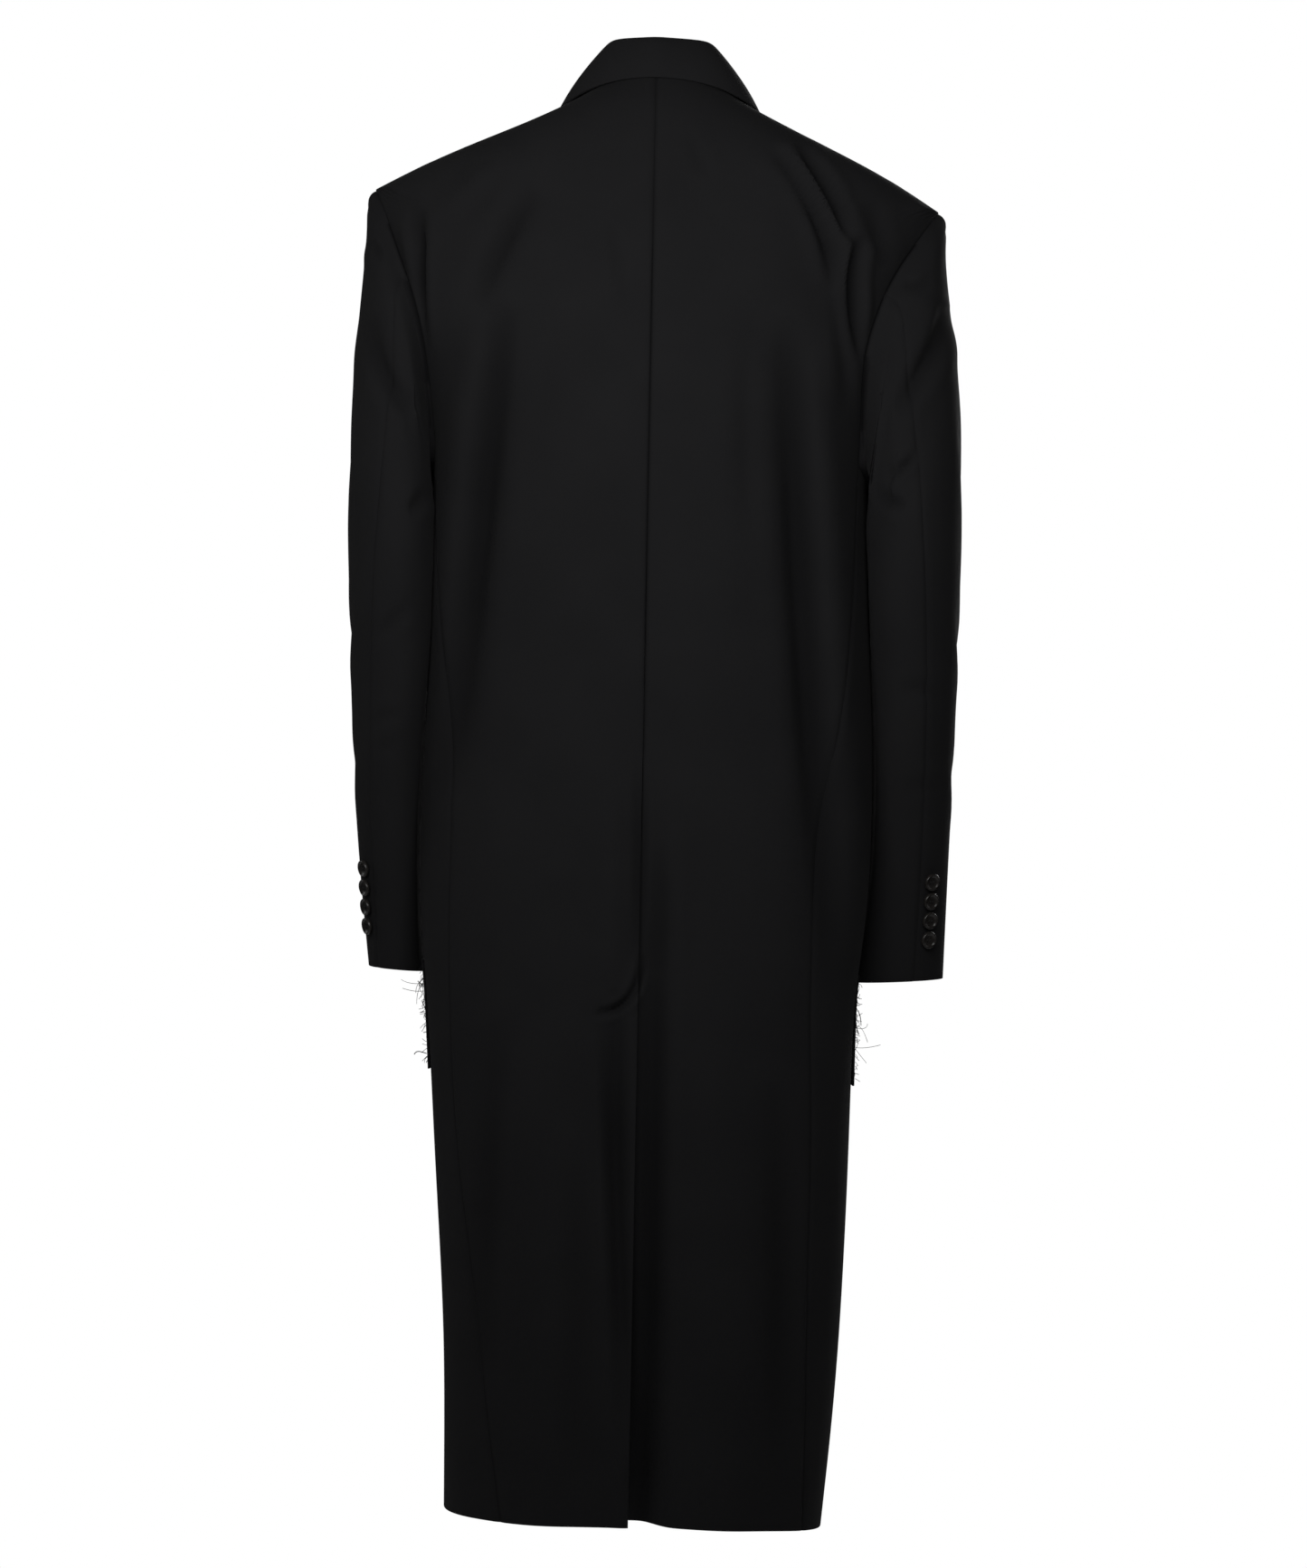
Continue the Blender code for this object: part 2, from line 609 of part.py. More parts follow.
def sleeve_ring(side, down, start_angles, tip):
    """One plain ring of a sleeve, and how much of the armhole's shape it keeps."""
    data = SLEEVES[side]
    hind = read(data, "hind", down)
    fore = read(data, "fore", down)
    base = [0, start_angles[HIND_COLUMN], start_angles[FORE_COLUMN], 360]
    angle = np.radians(np.interp(start_angles, base, [0, hind, fore, 360]))
    across = np.cos(angle)
    along = np.sin(angle)
    square = SLEEVE_SQUARE
    reach = (np.abs(across) ** square + np.abs(along) ** square) ** (-1 / square)
    outer = np.array([read(data, "outer", down) * side, tip[2] - down])
    inner = np.array([read(data, "inner", down) * side, read(data, "inner_z", down)])
    middle = (outer + inner) / 2
    flat = middle + (outer - middle) * (across * reach)[:, None]
    y = read(data, "middle", down) + read(data, "depth", down) * along * reach
    return np.stack([flat[:, 0], y, flat[:, 1]], axis=-1)


def rest_on_body(side, ring):
    """The ring with its inner side laid along the body's side, just clear of it."""
    down_the_side = BODY[SIDES[side] + "_z"]
    up = np.interp(ring[:, 2], down_the_side, BODY["up"])
    depth = np.where(ring[:, 1] > 0, read(BODY, "back", up), read(BODY, "front", up))
    square = read(BODY, "square", up)
    share = np.clip(np.abs(ring[:, 1] / depth), 0, 1)
    half_width = read(BODY, SIDES[side], up) * (1 - share**square) ** (1 / square)
    laid = ring.copy()
    laid[:, 0] = side * np.maximum(ring[:, 0] * side, half_width + SLEEVE_REST)
    return laid


def sleeve_tube(side):
    """The outer and inner faces of the whole sleeve, from the armhole to the cuff."""
    points, normals, away = armhole(side)
    start_angles, under = round_the_arm(points)
    first = SLEEVES[side]["down"][0]
    plain = sleeve_ring(side, first, start_angles, points[0])
    plain_under = plain[under]
    share = (1 + np.cos(np.radians(start_angles)))[:, None] / 2
    plain = plain + (points[0] - plain[0]) * share + (points[under] - plain_under) * (1 - share)
    rest = points - plain
    outwards = away * SPRING_TURN + np.array([side, 0, 0])
    outwards /= np.linalg.norm(outwards, axis=-1, keepdims=True)
    rows = [points + away * SEAM / 2]
    rows.append(points + outwards * SPRING)
    for down in sleeve_levels(side):
        ring = sleeve_ring(side, down, start_angles, points[0])
        ring = ring + rest * read(SLEEVES[side], "keep", down)
        rows.append(rest_on_body(side, ring))
    outer = np.array(rows)
    behind = outer[..., 1] > outer[..., 1].mean(axis=1)[:, None]
    height = np.where(behind, fold_height(outer, SLEEVE_FOLDS), 0)
    height[:2] = 0
    turn = np.roll(outer, -1, axis=1) - np.roll(outer, 1, axis=1)
    fall = np.gradient(outer, axis=0)
    facing = np.cross(fall, turn) * side
    facing /= np.linalg.norm(facing, axis=-1, keepdims=True)
    facing[0] = normals
    outer = outer + facing * height[..., None]
    return outer, outer - facing * WALL


def make_sleeve(side):
    """Top sleeve and under sleeve, cut from the tube along the hind and fore seams."""
    outer, inner = sleeve_tube(side)
    count = outer.shape[1]
    under = list(range(HIND_COLUMN, FORE_COLUMN + 1))
    top = list(range(FORE_COLUMN, count)) + list(range(0, HIND_COLUMN + 1))
    for name, columns in (("sleeve_under_", under), ("sleeve_top_", top)):
        outside = trim(outer[:, columns], SEAM / 2, SEAM / 2, axis=1)
        shift = outside - outer[:, columns]
        cloth(name + SIDES[side], outside, inner[:, columns] + shift)
    return outer


def make_collar():
    """Stand and fall in one: up from the neck seam, over the fold and down outside."""
    share = np.linspace(-1, 1, COLLAR_STEPS + 1)
    rows = []
    inner_rows = []
    for place in share:
        side = RIGHT if place < 0 else LEFT
        along = abs(place)
        wide = 1.0 if side == LEFT else 1 + COLLAR_RIGHT_WIDER * (1 - along**2)
        neck = math.radians(read(COLLAR, "neck_angle", along))
        seam = body(side, neck, NECK_UP)
        normal = body_normal(side, neck, NECK_UP)
        rise = body(side, neck, NECK_UP) - body(side, neck, NECK_UP - 2 * SMALL)
        rise /= np.linalg.norm(rise)
        seam = seam + rise * 2 * SEAM
        base = seam - normal * WALL
        fold = np.array([read(COLLAR, "fold_x", along) * side * wide, read(COLLAR, "fold_y", along),
                         read(COLLAR, "fold_z", along)])
        turned = math.radians(read(COLLAR, "edge_angle", along))
        level = read(COLLAR, "edge_up", along)
        edge = body(side, turned, level) + body_normal(side, turned, level) * COLLAR_LIFT
        out = edge - fold
        out[2] = 0
        out /= np.linalg.norm(out)
        down = np.array([0, 0, -1.0])
        fold_in = fold - out * COLLAR_FOLD + down * COLLAR_FOLD
        fold_out = fold + out * COLLAR_FOLD + down * COLLAR_FOLD
        fall = edge - fold_out
        bow = np.cross(fall, np.cross(out, down))
        bow /= np.linalg.norm(bow)
        if bow[2] < 0:
            bow = -bow
        section = [base, base + (fold_in - base) * 0.5, fold_in, fold, fold_out]
        for share_down in COLLAR_FALL_ROWS:
            section.append(fold_out + fall * share_down + bow * COLLAR_BOW)
        section.append(edge)
        rows.append(section)
        inner_rows.append(seam)
    face = np.array(rows)
    along = np.gradient(face, axis=0)
    over = np.gradient(face, axis=1)
    facing = np.cross(along, over)
    facing /= np.linalg.norm(facing, axis=-1, keepdims=True)
    middle = COLLAR_STEPS // 2
    if facing[middle, 3, 2] < 0:
        facing = -facing
    hidden = face - facing * COLLAR_WALL
    hidden[:, 0] = np.array(inner_rows)
    return cloth("collar", face, hidden)


def make_button(name, centre, normal, radius, height):
    """A turned button: a low dish inside a raised rim, flat against the cloth."""
    normal = normal / np.linalg.norm(normal)
    first = np.cross(normal, [0, 0, 1.0])
    first /= np.linalg.norm(first)
    second = np.cross(normal, first)
    seat = centre + normal * SEAM
    vertices = [seat + normal * height * BUTTON_PROFILE[0][1]]
    for share, level in BUTTON_PROFILE[1:]:
        for k in range(BUTTON_SIDES):
            turn = 2 * math.pi * k / BUTTON_SIDES
            spoke = first * math.cos(turn) + second * math.sin(turn)
            vertices.append(seat + spoke * radius * share + normal * height * level)
    vertices.append(seat)
    last = len(vertices) - 1
    faces = []
    for k in range(BUTTON_SIDES):
        following = (k + 1) % BUTTON_SIDES
        faces.append((0, 1 + k, 1 + following))
        for ring in range(len(BUTTON_PROFILE) - 2):
            a = 1 + ring * BUTTON_SIDES
            b = a + BUTTON_SIDES
            faces.append((a + k, b + k, b + following, a + following))
        a = 1 + (len(BUTTON_PROFILE) - 2) * BUTTON_SIDES
        faces.append((a + k, last, a + following))
    return add_object(name, vertices, faces, BLACK_HORN)


def make_cuff_buttons(side, outer):
    """Four buttons up the cuff, beside the vent on the top sleeve."""
    seam = outer[::-1, HIND_COLUMN]
    beside = outer[::-1, HIND_COLUMN - 1]
    lengths = np.concatenate([[0], np.cumsum(np.linalg.norm(np.diff(seam, axis=0), axis=-1))])
    for number in range(4):
        at = CUFF_BUTTON_FIRST + CUFF_BUTTON_SPACING * number
        row = int(np.searchsorted(lengths, at))
        share = (at - lengths[row - 1]) / (lengths[row] - lengths[row - 1])
        start = seam[row - 1] * (1 - share) + seam[row] * share
        step = beside[row - 1] * (1 - share) + beside[row] * share - start
        step /= np.linalg.norm(step)
        normal = np.cross(beside[row] - seam[row - 1], seam[row] - beside[row - 1])
        normal /= np.linalg.norm(normal)
        if normal @ (start - outer[::-1][row].mean(axis=0)) < 0:
            normal = -normal
        centre = start + step * CUFF_BUTTON_FROM_SEAM + normal * BUTTON_LIFT
        name = "cuff_button_" + SIDES[side] + "_" + str(number + 1)
        make_button(name, centre, normal, CUFF_BUTTON_RADIUS, CUFF_BUTTON_HEIGHT)


def make_front_buttons():
    """Buttons down the centre front, on the upper layer."""
    for number, ring in enumerate(FRONT_BUTTON_RINGS):
        point, normal = front_point(LEFT, 0.0, UPS[ring])
        make_button("front_button_" + str(number + 1), point + normal * BUTTON_LIFT, normal,
                    FRONT_BUTTON_RADIUS, FRONT_BUTTON_HEIGHT)


def flap_grid(side):
    """The flap's two faces, raised off the panel that it lies on."""
    share = np.linspace(0, 1, FLAP_STEPS + 1)[None, :]
    angles = np.radians(FLAP_BACK_ANGLE + (FLAP_FRONT_ANGLE - FLAP_BACK_ANGLE) * share)
    rows = np.linspace(0, 1, FLAP_ROWS + 1)[:, None]
    ups = FLAP_BOTTOM + FLAP_DEPTH * rows + 0 * share
    angles = angles + 0 * rows
    points = body(side, angles, ups)
    normals = body_normal(side, angles, ups)
    lift = FLAP_LIFT + FLAP_BULGE * (1 - rows) * np.sin(math.pi * (0.2 + 0.6 * share))
    under = points + normals * lift[..., None]
    return under + normals * WALL, under, normals


def make_flap(side):
    outer, under, normals = flap_grid(side)
    cloth("pocket_flap_" + SIDES[side], trim(outer, SEAM, 0), trim(under, SEAM, 0))
    return outer, under, normals


def make_fray(side, outer, under, normals):
    """Loose threads along the flap's raw back edge, on a strip just off that edge."""
    rng = np.random.default_rng(FRAY_SEED + side)
    share = np.linspace(0.02, 0.98, 2 * FRAY_STRANDS + 2)
    rows = np.linspace(0, 1, FLAP_ROWS + 1)

    def along(points):
        return np.array([[np.interp(s, rows, points[:, 0, axis]) for axis in range(3)] for s in share])

    edge = (along(outer) + along(under)) / 2
    inside = along(outer[:, 1:] - outer[:, :1])
    back = -inside / np.linalg.norm(inside, axis=-1, keepdims=True)
    facing = along(normals)
    half = FRAY_STRIP_HALF
    near = edge + back * FRAY_GAP
    far = near + back * FRAY_STRIP
    vertices = []
    for k in range(len(share)):
        vertices += [near[k] + facing[k] * half, near[k] - facing[k] * half]
        vertices += [far[k] - facing[k] * half, far[k] + facing[k] * half]
    faces = [(0, 1, 2, 3)]
    last = 4 * (len(share) - 1)
    faces.append((last + 3, last + 2, last + 1, last))
    for k in range(len(share) - 1):
        a = 4 * k
        b = a + 4
        for corner in (0, 1, 3):
            following = (corner + 1) % 4
            faces.append((a + corner, b + corner, b + following, a + following))
        ends = (a + 2, b + 2, b + 3, a + 3)
        if k % 2 == 0:
            faces.append(ends)
            continue
        length = FRAY_LONGEST * (FRAY_SHORTEST + (1 - FRAY_SHORTEST) * rng.random() ** 2)
        lean = rng.uniform(-FRAY_LEAN, FRAY_LEAN)
        middle = sum(np.array(vertices[v]) for v in ends) / 4
        rise = far[min(k + 1, len(share) - 1)] - far[k]
        rise /= np.linalg.norm(rise)
        tip = middle + back[k] * length + rise * length * lean - facing[k] * length * 0.1
        first = len(vertices)
        vertices += [tip + (np.array(vertices[v]) - middle) * FRAY_TAPER for v in ends]
        for corner in range(4):
            following = (corner + 1) % 4
            faces.append((ends[corner], ends[following], first + following, first + corner))
        faces.append(tuple(first + corner for corner in range(4)))
    return add_object("fray_" + SIDES[side], vertices, faces, BLACK_WOOL)


def make_coat():
    for old in list(bpy.data.objects):
        bpy.data.objects.remove(old, do_unlink=True)
    for side in (LEFT, RIGHT):
        make_back(side)
        make_side(side)
        make_front(side)
        make_lapel(side)
        outer = make_sleeve(side)
        make_cuff_buttons(side, outer)
        faces = make_flap(side)
        make_fray(side, *faces)
    make_collar()
    make_front_buttons()


make_coat()
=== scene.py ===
# %% [markdown]
# # A long black tailored coat
#
# This lesson dresses a long tailored coat that hangs from its shoulders, seen from behind.
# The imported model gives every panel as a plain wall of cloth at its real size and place.
# The script leaves those walls where they are and makes what the eye looks for on them:
# softer folds, pressed seams, a wool surface, turned buttons and loose threads.
#
# Units are metres. +Z is up, +Y is the coat's back and +X is the wearer's left.

# %% Load the fixed frame
import math

import bmesh
import bpy
import numpy as np
from mathutils import Matrix, Vector
from mathutils.bvhtree import BVHTree
from mathutils.kdtree import KDTree


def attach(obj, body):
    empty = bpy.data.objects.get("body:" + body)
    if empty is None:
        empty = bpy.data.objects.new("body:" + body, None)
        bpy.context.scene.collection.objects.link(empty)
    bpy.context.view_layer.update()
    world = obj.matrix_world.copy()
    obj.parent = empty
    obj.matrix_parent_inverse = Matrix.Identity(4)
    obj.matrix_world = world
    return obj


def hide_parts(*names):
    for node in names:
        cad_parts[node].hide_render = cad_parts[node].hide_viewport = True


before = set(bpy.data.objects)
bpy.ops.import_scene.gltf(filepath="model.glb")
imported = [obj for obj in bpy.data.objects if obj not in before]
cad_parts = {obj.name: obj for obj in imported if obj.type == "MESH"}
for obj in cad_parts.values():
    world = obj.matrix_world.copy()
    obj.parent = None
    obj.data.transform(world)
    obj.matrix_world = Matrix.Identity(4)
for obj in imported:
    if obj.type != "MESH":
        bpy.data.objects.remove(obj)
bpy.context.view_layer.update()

SIDES = {"left": 1, "right": -1}
print("nodes in the frame:", len(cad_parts))

# %% [markdown]
# ## The camera
#
# The photograph looks level at the middle of the back from about four metres away.
# A long lens keeps the coat's proportions. The coat in the picture leans a degree to the
# right. A real one hangs straight, so the camera is rolled and not the coat.

# %% Camera
CAMERA_PLACE = (-0.0096, 4.0, -0.596)
CAMERA_LENS = 103.8
CAMERA_ROLL = 1.1

camera_data = bpy.data.cameras.new("camera")
camera_data.lens = CAMERA_LENS
camera = bpy.data.objects.new("camera", camera_data)
bpy.context.scene.collection.objects.link(camera)
level_view = Matrix.Rotation(math.pi, 4, "Z") @ Matrix.Rotation(math.pi / 2, 4, "X")
rolled_view = level_view @ Matrix.Rotation(math.radians(CAMERA_ROLL), 4, "Z")
camera.matrix_world = Matrix.Translation(CAMERA_PLACE) @ rolled_view
bpy.context.scene.camera = camera
bpy.context.scene.view_settings.view_transform = "Standard"

# %% [markdown]
# ## The studio
#
# The picture is a cut-out on pure white. The cloth is brightest at the shoulder blades, and
# falls off towards the hem, the sides and the shoulder tops. So the main light is a soft one
# near the coat, level with the blades. The world is white where the camera sees it, and only
# a weak fill on the cloth: a full white room would grey every black fold.

# %% World, floor and lights
FLOOR_DEPTH = 1.62
FLOOR_RADIUS = 1.4
FILL_STRENGTH = 0.03
FLOOR_GREY = (0.86, 0.86, 0.86, 1)
FLOOR_ROUGHNESS = 0.8
# The soft lights: place, aim, size, power
LIGHTS = {
    "key": ((0.16, 1.3, -0.05), (0, 0, -0.05), (1.5, 0.7), 17),
    "blades": ((0.0, 0.85, -0.12), (0, 0, -0.12), (0.6, 0.2), 1.6),
    "front": ((-0.5, -2.2, 0.3), (0, 0, -0.45), (1.8, 1.2), 46),
    "side_left": ((2.4, -1.0, 0.2), (0, 0, -0.6), (1.2, 2.0), 11),
    "side_right": ((-2.4, -1.0, 0.2), (0, 0, -0.6), (1.2, 2.0), 7),
}


def mix_in_world(world):
    """White to the camera, and a weak even fill to everything else."""
    world.use_nodes = True
    nodes = world.node_tree.nodes
    links = world.node_tree.links
    nodes.clear()
    seen = nodes.new("ShaderNodeBackground")
    seen.inputs["Color"].default_value = (1, 1, 1, 1)
    fill = nodes.new("ShaderNodeBackground")
    fill.inputs["Color"].default_value = (1, 1, 1, 1)
    fill.inputs["Strength"].default_value = FILL_STRENGTH
    path = nodes.new("ShaderNodeLightPath")
    mix = nodes.new("ShaderNodeMixShader")
    out = nodes.new("ShaderNodeOutputWorld")
    links.new(path.outputs["Is Camera Ray"], mix.inputs["Fac"])
    links.new(fill.outputs["Background"], mix.inputs[1])
    links.new(seen.outputs["Background"], mix.inputs[2])
    links.new(mix.outputs["Shader"], out.inputs["Surface"])


def soft_light(name, place, aim, size, power):
    """A rectangular light at a place, turned to a point and hidden from the camera."""
    data = bpy.data.lights.new(name, "AREA")
    data.shape = "RECTANGLE"
    data.size = size[0]
    data.size_y = size[1]
    data.energy = power
    light = bpy.data.objects.new(name, data)
    bpy.context.scene.collection.objects.link(light)
    light.location = place
    light.rotation_euler = (Vector(aim) - Vector(place)).to_track_quat("-Z", "Y").to_euler()
    light.visible_camera = False


def start_clean():
    """Nothing selected, so that an operator acts on the new piece alone."""
    bpy.ops.object.select_all(action="DESELECT")


world = bpy.data.worlds.new("studio")
bpy.context.scene.world = world
mix_in_world(world)
for name, (place, aim, size, power) in LIGHTS.items():
    soft_light(name, place, aim, size, power)

start_clean()
bpy.ops.mesh.primitive_circle_add(vertices=96, radius=FLOOR_RADIUS, fill_type="NGON",
                                  location=(0, 0, -FLOOR_DEPTH))
floor = bpy.context.object
floor.name = "floor"
bpy.ops.object.transform_apply(location=True, rotation=True, scale=True)
floor_finish = bpy.data.materials.new("pale_floor")
floor_finish.use_nodes = True
floor_shader = floor_finish.node_tree.nodes["Principled BSDF"]
floor_shader.inputs["Base Color"].default_value = FLOOR_GREY
floor_shader.inputs["Roughness"].default_value = FLOOR_ROUGHNESS
floor.data.materials.append(floor_finish)
print("studio ready, floor at", -FLOOR_DEPTH)

# %% [markdown]
# ## Wool cloth
#
# The cloth is a black wool twill. Close up it has fine slanting ribs and a short nap; from a
# step away it is nearly flat black with a faint sheen where it turns from the eye. A node
# group makes the ribs and the nap from the piece's own UV map, which runs in metres along
# the cloth, so that the ribs keep their size and follow each panel.

# %% Wool materials
TWILL_PITCH = 0.0011
NAP_SIZE = 0.0016
PATCHES_PER_METRE = 14
RIB_HEIGHT = 0.55
NAP_HEIGHT = 0.6
RIB_LIGHTNESS = 0.35
PATCH_LIGHTNESS = 0.5
WOOL_BUMP = 0.5
WOOL_RELIEF = 0.0004
WOOL_DARK = (0.0075, 0.0075, 0.0080, 1)
WOOL_LIGHT = (0.0130, 0.0128, 0.0134, 1)
WOOL_ROUGHNESS = 0.93
WOOL_SPECULAR = 0.04
WOOL_SHEEN = 0.01
# Painted shade: the near black for the shadow in a seam's groove and at the bottom of a deep fold,
# how narrow the seam's line is, and how much of it a deep fold gets
PAINTED_SHADE_BLACK = (0.0012, 0.0012, 0.0014, 1)
SEAM_LINE_POWER = 4.0
HOLLOW_SHADE = 0.5
SHEEN_ROUGHNESS = 0.45


def math_node(tree, operation, first, second=None):
    """One Math node whose inputs are sockets or plain numbers."""
    node = tree.nodes.new("ShaderNodeMath")
    node.operation = operation
    for socket, value in zip(node.inputs, (first, second)):
        if value is None:
            continue
        if isinstance(value, (int, float)):
            socket.default_value = value
        else:
            tree.links.new(value, socket)
    return node.outputs[0]


def make_twill_group():
    """Ribs and nap of wool twill, as a height and a lightness from 0 to 1."""
    group = bpy.data.node_groups.new("wool_twill", "ShaderNodeTree")
    face = group.interface
    face.new_socket("Vector", in_out="INPUT", socket_type="NodeSocketVector")
    face.new_socket("Height", in_out="OUTPUT", socket_type="NodeSocketFloat")
    face.new_socket("Lightness", in_out="OUTPUT", socket_type="NodeSocketFloat")
    start = group.nodes.new("NodeGroupInput")
    end = group.nodes.new("NodeGroupOutput")
    parts = group.nodes.new("ShaderNodeSeparateXYZ")
    group.links.new(start.outputs["Vector"], parts.inputs[0])
    slant = math_node(group, "ADD", parts.outputs["X"], parts.outputs["Y"])
    turns = math_node(group, "MULTIPLY", slant, 2 * math.pi / TWILL_PITCH)
    wave = math_node(group, "SINE", turns)
    ribs = math_node(group, "MULTIPLY_ADD", wave, 0.5)
    ribs.node.inputs[2].default_value = 0.5
    nap = group.nodes.new("ShaderNodeTexNoise")
    nap.inputs["Scale"].default_value = 1 / NAP_SIZE
    nap.inputs["Detail"].default_value = 3
    group.links.new(start.outputs["Vector"], nap.inputs["Vector"])
    patches = group.nodes.new("ShaderNodeTexNoise")
    patches.inputs["Scale"].default_value = PATCHES_PER_METRE
    patches.inputs["Detail"].default_value = 2
    group.links.new(start.outputs["Vector"], patches.inputs["Vector"])
    rough_ribs = math_node(group, "MULTIPLY", ribs, RIB_HEIGHT)
    fuzz = math_node(group, "MULTIPLY", nap.outputs["Fac"], NAP_HEIGHT)
    group.links.new(math_node(group, "ADD", rough_ribs, fuzz), end.inputs["Height"])
    shade = math_node(group, "MULTIPLY", patches.outputs["Fac"], PATCH_LIGHTNESS)
    light = math_node(group, "ADD", math_node(group, "MULTIPLY", ribs, RIB_LIGHTNESS), shade)
    group.links.new(light, end.inputs["Lightness"])
    return group


twill_group = make_twill_group()


def make_wool(name):
    """A wool material: twill colour and bump, no gloss to speak of, and a short nap.

    It has painted shade: it turns darker in a thin line where the attribute seam is near 1,
    for the shadow in the seam's groove, and at the bottom of the deep folds, which get little
    light.
    """
    material = bpy.data.materials.new(name)
    material.use_nodes = True
    tree = material.node_tree
    shader = tree.nodes["Principled BSDF"]
    place = tree.nodes.new("ShaderNodeUVMap")
    place.uv_map = "cloth"
    twill = tree.nodes.new("ShaderNodeGroup")
    twill.node_tree = twill_group
    ramp = tree.nodes.new("ShaderNodeMix")
    ramp.data_type = "RGBA"
    ramp.inputs[6].default_value = WOOL_DARK
    ramp.inputs[7].default_value = WOOL_LIGHT
    relief = tree.nodes.new("ShaderNodeBump")
    relief.inputs["Strength"].default_value = WOOL_BUMP
    relief.inputs["Distance"].default_value = WOOL_RELIEF
    tree.links.new(place.outputs["UV"], twill.inputs["Vector"])
    tree.links.new(twill.outputs["Lightness"], ramp.inputs[0])
    # Painted shade: the wool turns near black along the seams and at the bottom of the deep folds
    seam = tree.nodes.new("ShaderNodeAttribute")
    seam.attribute_name = "seam"
    line = math_node(tree, "POWER", seam.outputs["Fac"], SEAM_LINE_POWER)
    fold_shade = tree.nodes.new("ShaderNodeAttribute")
    fold_shade.attribute_name = "fold_shade"
    dim = math_node(tree, "MULTIPLY", fold_shade.outputs["Fac"], HOLLOW_SHADE)
    # The painted shade of the seams and the folds, mixed into the wool's colour
    pressed = tree.nodes.new("ShaderNodeMix")
    pressed.data_type = "RGBA"
    pressed.inputs[7].default_value = PAINTED_SHADE_BLACK
    tree.links.new(math_node(tree, "MAXIMUM", line, dim), pressed.inputs[0])
    tree.links.new(ramp.outputs[2], pressed.inputs[6])
    tree.links.new(pressed.outputs[2], shader.inputs["Base Color"])
    tree.links.new(twill.outputs["Height"], relief.inputs["Height"])
    tree.links.new(relief.outputs["Normal"], shader.inputs["Normal"])
    shader.inputs["Roughness"].default_value = WOOL_ROUGHNESS
    shader.inputs["Specular IOR Level"].default_value = WOOL_SPECULAR
    shader.inputs["Sheen Weight"].default_value = WOOL_SHEEN
    shader.inputs["Sheen Roughness"].default_value = SHEEN_ROUGHNESS
    return material


wool = make_wool("black_wool")
print("wool finish made")

# %% [markdown]
# ## From a faceted wall to soft cloth
#
# A packed panel is a closed wall of loose triangles. A copy is merged, its triangles are
# joined back into the tailor's grid of quads, and the rim is creased so that subdivision
# rounds the faces and leaves the edges where the neighbour's edges are. Long quads are then
# cut across, so that small folds have points to bend.

# %% Copy and subdivide a panel
SHARP_ANGLE = math.radians(50)
QUAD_ANGLE = math.radians(45)
MERGE_DISTANCE = 0.00001
LONGEST_EDGE = 0.0055
# The slanted top of the vent, where the fold is sharper: low corner, high corner
VENT_TOP = ((-0.012, 0.0, -0.825), (0.052, 0.3, -0.738))
VENT_EDGE = 0.0021
VENT_CUTS = 2
PANEL_DETAIL = 2
COLLAR_DETAIL = 3
FACE_OF_CLOTH = 0
RIM_OF_CLOTH = 1


def is_sharp(edge):
    """True on the edges where a wall's face meets its rim."""
    return len(edge.link_faces) == 2 and edge.calc_face_angle(0) > SHARP_ANGLE


def is_rim(face):
    """True on the narrow faces round a wall, which have two sharp edges opposite each other."""
    sharp = [is_sharp(edge) for edge in face.edges]
    return len(sharp) == 4 and ((sharp[0] and sharp[2]) or (sharp[1] and sharp[3]))


def clean_copy(node, name):
    """A new piece with the node's wall as merged quads."""
    mesh = bpy.data.meshes.new(name)
    work = bmesh.new()
    work.from_mesh(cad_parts[node].data)
    for layer in list(work.loops.layers.uv.values()):
        work.loops.layers.uv.remove(layer)
    bmesh.ops.remove_doubles(work, verts=work.verts, dist=MERGE_DISTANCE)
    bmesh.ops.join_triangles(work, faces=work.faces, angle_face_threshold=QUAD_ANGLE,
                             angle_shape_threshold=math.pi)
    crease = work.edges.layers.float.new("crease_edge")
    for edge in work.edges:
        if is_sharp(edge):
            edge[crease] = 1.0
    for face in work.faces:
        face.material_index = RIM_OF_CLOTH if is_rim(face) else FACE_OF_CLOTH
    triangles = sum(len(face.verts) == 3 for face in work.faces)
    work.to_mesh(mesh)
    work.free()
    piece = bpy.data.objects.new(name, mesh)
    bpy.context.scene.collection.objects.link(piece)
    for _ in (FACE_OF_CLOTH, RIM_OF_CLOTH):
        mesh.materials.append(wool)
    print(name, "quads", len(mesh.polygons) - triangles, "triangles left", triangles)
    return piece


def apply_modifiers(piece):
    """Every modifier of the piece, made part of its mesh."""
    start_clean()
    piece.select_set(True)
    bpy.context.view_layer.objects.active = piece
    for modifier in list(piece.modifiers):
        bpy.ops.object.modifier_apply(modifier=modifier.name)


def soften(piece, levels):
    """The piece rounded by subdivision, with its long quads cut across, and finer at the vent."""
    subdivision = piece.modifiers.new("subdivision", "SUBSURF")
    subdivision.levels = levels
    subdivision.render_levels = levels
    subdivision.boundary_smooth = "PRESERVE_CORNERS"
    apply_modifiers(piece)
    work = bmesh.new()
    work.from_mesh(piece.data)
    long_edges = [edge for edge in work.edges if edge.calc_length() > LONGEST_EDGE]
    bmesh.ops.subdivide_edges(work, edges=long_edges, cuts=1, use_grid_fill=True)
    low, high = VENT_TOP
    for _ in range(VENT_CUTS):
        fine = [edge for edge in work.edges if edge.calc_length() > VENT_EDGE
                and all(low[k] < corner.co[k] < high[k] for corner in edge.verts for k in range(3))]
        bmesh.ops.subdivide_edges(work, edges=fine, cuts=1, use_grid_fill=True)
    work.to_mesh(piece.data)
    work.free()


def rim_vertices(piece):
    """The numbers of the points on the wall's rim."""
    return sorted({k for face in piece.data.polygons if face.material_index == RIM_OF_CLOTH
                   for k in face.vertices})


